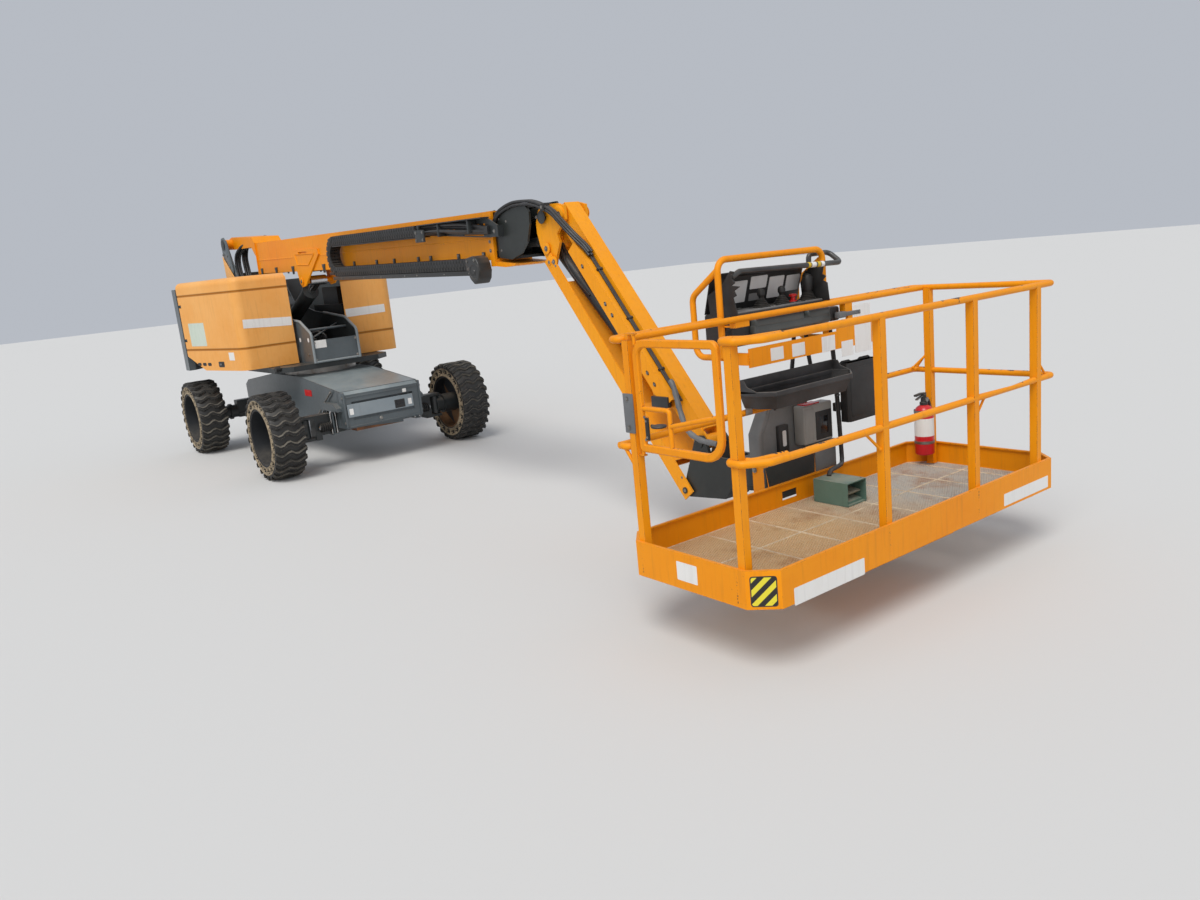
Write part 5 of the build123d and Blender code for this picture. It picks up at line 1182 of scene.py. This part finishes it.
# ---------------------------------------------------------------- rotator: bolts of the drum and the brackets
s = Shape()
for k in range(8):
    a = 2 * pi * k / 8
    s.bolt((6.59 + 0.066 * cos(a), 0.066 * sin(a), 0.565), UP, 0.007, 0.006, 0)
for y, out in ((-0.144, -1), (0.229, 1)):
    for x, z in ((6.712, 0.4), (6.712, 0.575), (6.795, 0.4), (6.795, 0.575)):
        s.bolt((x, y + out * 0.012, z), (0, out, 0), 0.011, 0.008, 0)
s.done("rotator_bolts", "platform", [STEEL], "dark_paint")

# ---------------------------------------------------------------- hoods: blank stickers, plates and latches
HOOD_FRONT, HOOD_SIDE, HOOD_RUN, HOOD_FLARE = 0.2, 0.875, 1.2, 0.255


def on_hood(side, x, z):
    """A point of a hood's outer side at that x, and the side's directions along and outward."""
    point = Vector((x, side * (HOOD_SIDE - (x - HOOD_FRONT) * HOOD_FLARE / HOOD_RUN), z))
    return point, Vector((-side * HOOD_RUN, HOOD_FLARE, 0)).normalized(), Vector((HOOD_FLARE, side * HOOD_RUN, 0)).normalized()


def hood_plate(s, side, x, z, w, h, t, r, m, raised=0.0):
    """A plate that lies along a hood's side, or is raised off it."""
    at, run, out = on_hood(side, x, z)
    s.plate(at + out * raised, run, UP, w, h, t, r, m)


def hood_trim(side, y, tilt, w, h, latch_x):
    """The sticker on a hood's front and the latch on its side."""
    s = Shape()
    c, d = cos(radians(tilt)), sin(radians(tilt))
    s.plate((HOOD_FRONT, y, 1.463), (0, c, d), (0, -d, c), w, h, t=0.0012)
    hood_plate(s, side, latch_x, 1.06, 0.12, 0.06, 0.0025, 0.014, 1)
    hood_plate(s, side, latch_x, 1.06, 0.05, 0.018, 0.01, 0.006, 2, raised=0.0025)
    return s


s = hood_trim(-1, -0.567, -3, 0.515, 0.092, -0.28)
hood_plate(s, -1, -0.69, 1.39, 0.35, 0.255, 0.0012, 0.006, 3)
hood_plate(s, -1, -0.04, 1.145, 0.11, 0.085, 0.0012, 0.004, 0)
for x in (-0.763, -0.65, -0.539):
    hood_plate(s, -1, x, 1.06, 0.08, 0.034, 0.0015, 0.016, 1)
s.done("hood_right_trim", "hood_right", [WHITE, BLACK, STEEL, PALE], "hood_paint")
s = hood_trim(1, 0.547, 1, 0.471, 0.09, -0.3)
s.done("hood_left_trim", "hood_left", [WHITE, BLACK, STEEL], "hood_paint")

# ---------------------------------------------------------------- turret: rolled edges, plates, ears, valve block with its hoses
s = Shape()
# the rolled edges are tubes in the lighter grey: painted highlight along them
for side in (-1, 1):
    s.bar([(-0.3, side * 0.253, 1.482), (0.29, side * 0.253, 1.43), (0.56, side * 0.253, 1.302), (0.56, side * 0.253, 0.99)], 0.0145, 0.06,
          14, 3)
    for x, z in ((0.23, 1.235), (0.47, 1.235)):
        s.lathe((x, side * 0.2595, z), (0, side, 0), [(0, 0.024), (0.0015, 0.024)], 20, 1)
    s.bolt((0.43, side * 0.26, 1.08), (0, side, 0), 0.012, 0.009, 2)
s.plate((0.549, -0.163, 1.184), *FRONT, 0.126, 0.082, t=0.0012, r=0.004, m=1)
for x, z in ((-0.232, 1.02), (0.232, 1.02), (-0.232, 1.2), (0.232, 1.2)):
    s.bolt((0.549, x, z), AHEAD, 0.01, 0.008, 2)
# braces across the open top
s.cyl((0.47, -0.24, 1.24), (0.06, 0.24, 1.36), 0.01, 12, 0)
s.cyl((0.3, -0.244, 1.33), (0.3, 0.244, 1.33), 0.014, 14, 0)
# the rolled lip across the front plate's foot, also in the lighter grey of painted highlight
s.bar([(0.556, -0.24, 0.998), (0.556, 0.24, 0.998)], 0.012, 0.02, 12, 3)
# ears' doubling plates, and the pale fins at their feet
ear = [(-1.963, 2.33), (-1.96, 2.425), (-1.925, 2.468), (-1.86, 2.472), (-1.74, 2.425), (-1.706, 2.33), (-1.64, 2.06), (-1.7, 1.99),
       (-1.8, 2.01), (-1.94, 2.2)]
for side in (-1, 1):
    s.prism(ear, "y", side * 0.262, side * 0.272, 0.002, 0)
    s.prism([(-1.962, 2.254), (-1.62, 1.985), (-1.94, 1.985)], "y", side * 0.276, side * 0.282, 0.001, 4)
    for x, z in ((-1.78, 2.25), (-1.76, 2.12), (-1.94, 2.27)):
        s.bolt((x, side * 0.272, z), (0, side, 0), 0.012, 0.009, 2)
s.done("turret_edges", "turret", [GREY, WHITE, STEEL, EDGE_HIGHLIGHT, HOOD], "grey_paint")

s = Shape()
s.box(-0.15, 0.18, -0.17, 0.15, 1.06, 1.17, 0.006, 0)
for k in range(5):
    x = -0.11 + 0.06 * k
    for y, d in ((-0.17, -1), (0.15, 1)):
        s.cyl((x, y, 1.12), (x, y + d * 0.045, 1.12), 0.019, 16, 1, 0.003)
    s.cyl((x, -0.06, 1.17), (x, -0.06, 1.225), 0.02, 16, 1, 0.003)
    s.tube([(x, 0.06, 1.17), (x + 0.01, 0.065, 1.24), (x - 0.06, 0.09 - 0.02 * k, 1.29), (x - 0.25, 0.08 - 0.03 * k, 1.25),
            (-0.7, 0.07 - 0.03 * k, 1.1 + 0.02 * k)], 0.012, 8, 2)
for k in range(3):
    s.tube([(0.18, -0.1 + 0.07 * k, 1.11), (0.3, -0.11 + 0.08 * k, 1.12), (0.4, -0.08 + 0.07 * k, 1.06), (0.42, -0.06 + 0.05 * k, 0.99)],
           0.014, 8, 2)
s.box(0.25, 0.5, 0.02, 0.22, 0.99, 1.13, 0.01, 3)
s.cyl((0.417, -0.59, 0.975), (0.417, -0.64, 0.975), 0.03, 20, 3, 0.004)
s.done("valve_block", "turret", [STEEL, BLACK, HOSE, BLACK2], "grey_paint")

# ---------------------------------------------------------------- chassis: front panel, corner plates, reflectors, boots
s = Shape()
for side in (-1, 1):
    s.box(1.415, 1.563, side * 0.395, side * 0.4165, 0.402, 0.752, 0.006)
    for z in (0.7, 0.45):
        s.bolt((1.545, side * 0.4165, z), (0, side, 0), 0.011, 0.008, 2)
# bright panel that leans back over the recess, with its cut-out and latch
lean_up = Vector((-0.008, 0, 0.136)).normalized()
s.box(1.55, 1.5615, -0.388, 0.328, 0.494, 0.502, 0.002)
# the cut-out and its two holes are flat dark plates: painted shade in their openings
for x, y, z, w, h, t, r, m in ((1.559, -0.03, 0.566, 0.706, 0.128, 0.003, 0.006, 3), (1.562, 0.173, 0.551, 0.112, 0.084, 0.001, 0.004, 4),
                               (1.5632, 0.15, 0.56, 0.034, 0.04, 0.0008, 0.008, 5), (1.5632, 0.196, 0.56, 0.034, 0.04, 0.0008, 0.008, 5),
                               (1.5622, -0.345, 0.556, 0.04, 0.06, 0.0008, 0.003, 1), (1.5622, 0.285, 0.556, 0.04, 0.06, 0.0008, 0.003, 1)):
    s.plate((x, y, z), (0, 1, 0), lean_up, w, h, t, r, m)
s.box(1.548, 1.56, 0.222, 0.262, 0.655, 0.692, 0.004, 1)
s.box(1.505, 1.558, -0.385, 0.385, 0.694, 0.706, 0.003)
s.box(1.515, 1.558, -0.385, 0.385, 0.402, 0.414, 0.003)
s.bolt((1.551, -0.044, 0.443), AHEAD, 0.012, 0.009, 2)
# the cover's weld seams, the side reflectors and the rods along the gussets
s.weld([(1.512, -0.408, 0.757), (1.512, 0.408, 0.757)], 0.004)
for side in (-1, 1):
    s.weld([(1.512, side * 0.409, 0.754), (0.432, side * 0.409, 0.864)], 0.004)
    s.plate((0.635, side * 0.411, 0.702), (side * -1, 0, 0), UP, 0.19, 0.066, t=0.004, r=0.006, m=6)
    s.cyl((1.3, side * 0.432, 0.745), (0.896, side * 0.432, 0.504), 0.009, 12, 2)
    for p in ((1.3, side * 0.425, 0.745), (0.896, side * 0.425, 0.504)):
        s.bolt(p, (0, side, 0), 0.012, 0.012, 2)
s.done("chassis_trim", "chassis", [GREY, WHITE, STEEL, PANEL, BLACK2, WINDOW, REDMARK], "grey_paint")

# U-bolts over the axle, and the steering cylinder's ribbed boots
s = Shape()
for side in (-1, 1):
    for x in (1.15, 1.33):
        s.tube([(x, side * y, z) for y, z in ((0.43, 0.345), (0.43, 0.54), (0.455, 0.562), (0.48, 0.54), (0.48, 0.345))], 0.009, 10, 2)
        for y in (0.43, 0.48):
            s.bolt((x, side * y, 0.345), (0, 0, -1), 0.012, 0.012, 0)
    prof = [(0, 0.03)]
    for k in range(5):
        t = 0.008 + 0.022 * k
        prof += [(t, 0.034), (t + 0.007, 0.046), (t + 0.013, 0.046), (t + 0.019, 0.034)]
    prof.append((0.122, 0.03))
    s.lathe((1.33, side * 0.48, 0.42), (0, side, 0), prof, 24, 1)
    s.cyl((1.33, side * 0.598, 0.42), (1.33, side * 0.612, 0.42), 0.02, 16, 2)
s.done("axle_trim", "chassis", [STEEL, BLACK2, CHROME], "dark_paint")

# ---------------------------------------------------------------- lights and floor
floor_mesh = bpy.data.meshes.new("floor")
floor_mesh.from_pydata([(-60, -60, 0), (60, -60, 0), (60, 60, 0), (-60, 60, 0)], [], [(0, 1, 2, 3)])
floor = bpy.data.objects.new("floor", floor_mesh)
bpy.context.scene.collection.objects.link(floor)
fm = bpy.data.materials.new("floor_plain")
fm.use_nodes = True
fm.node_tree.nodes["Principled BSDF"].inputs["Base Color"].default_value = (0.62, 0.62, 0.61, 1)
fm.node_tree.nodes["Principled BSDF"].inputs["Roughness"].default_value = 0.9
floor_mesh.materials.append(fm)

world = bpy.data.worlds.new("world")
bpy.context.scene.world = world
world.use_nodes = True
world.node_tree.nodes["Background"].inputs[0].default_value = (0.86, 0.91, 1.0, 1)
world.node_tree.nodes["Background"].inputs[1].default_value = 0.55
for name, direction, strength, angle in (("key", (-0.35, 0.55, -1.0), 2.0, 30), ("fill", (-1.0, 0.9, -0.55), 0.75, 70)):
    light = bpy.data.lights.new(name, "SUN")
    light.energy = strength
    light.angle = radians(angle)
    light.color = (1.0, 0.97, 0.93)
    lamp = bpy.data.objects.new(name, light)
    lamp.rotation_euler = Vector(direction).to_track_quat("-Z", "Y").to_euler()
    bpy.context.scene.collection.objects.link(lamp)
bpy.context.scene.view_settings.view_transform = "Standard"
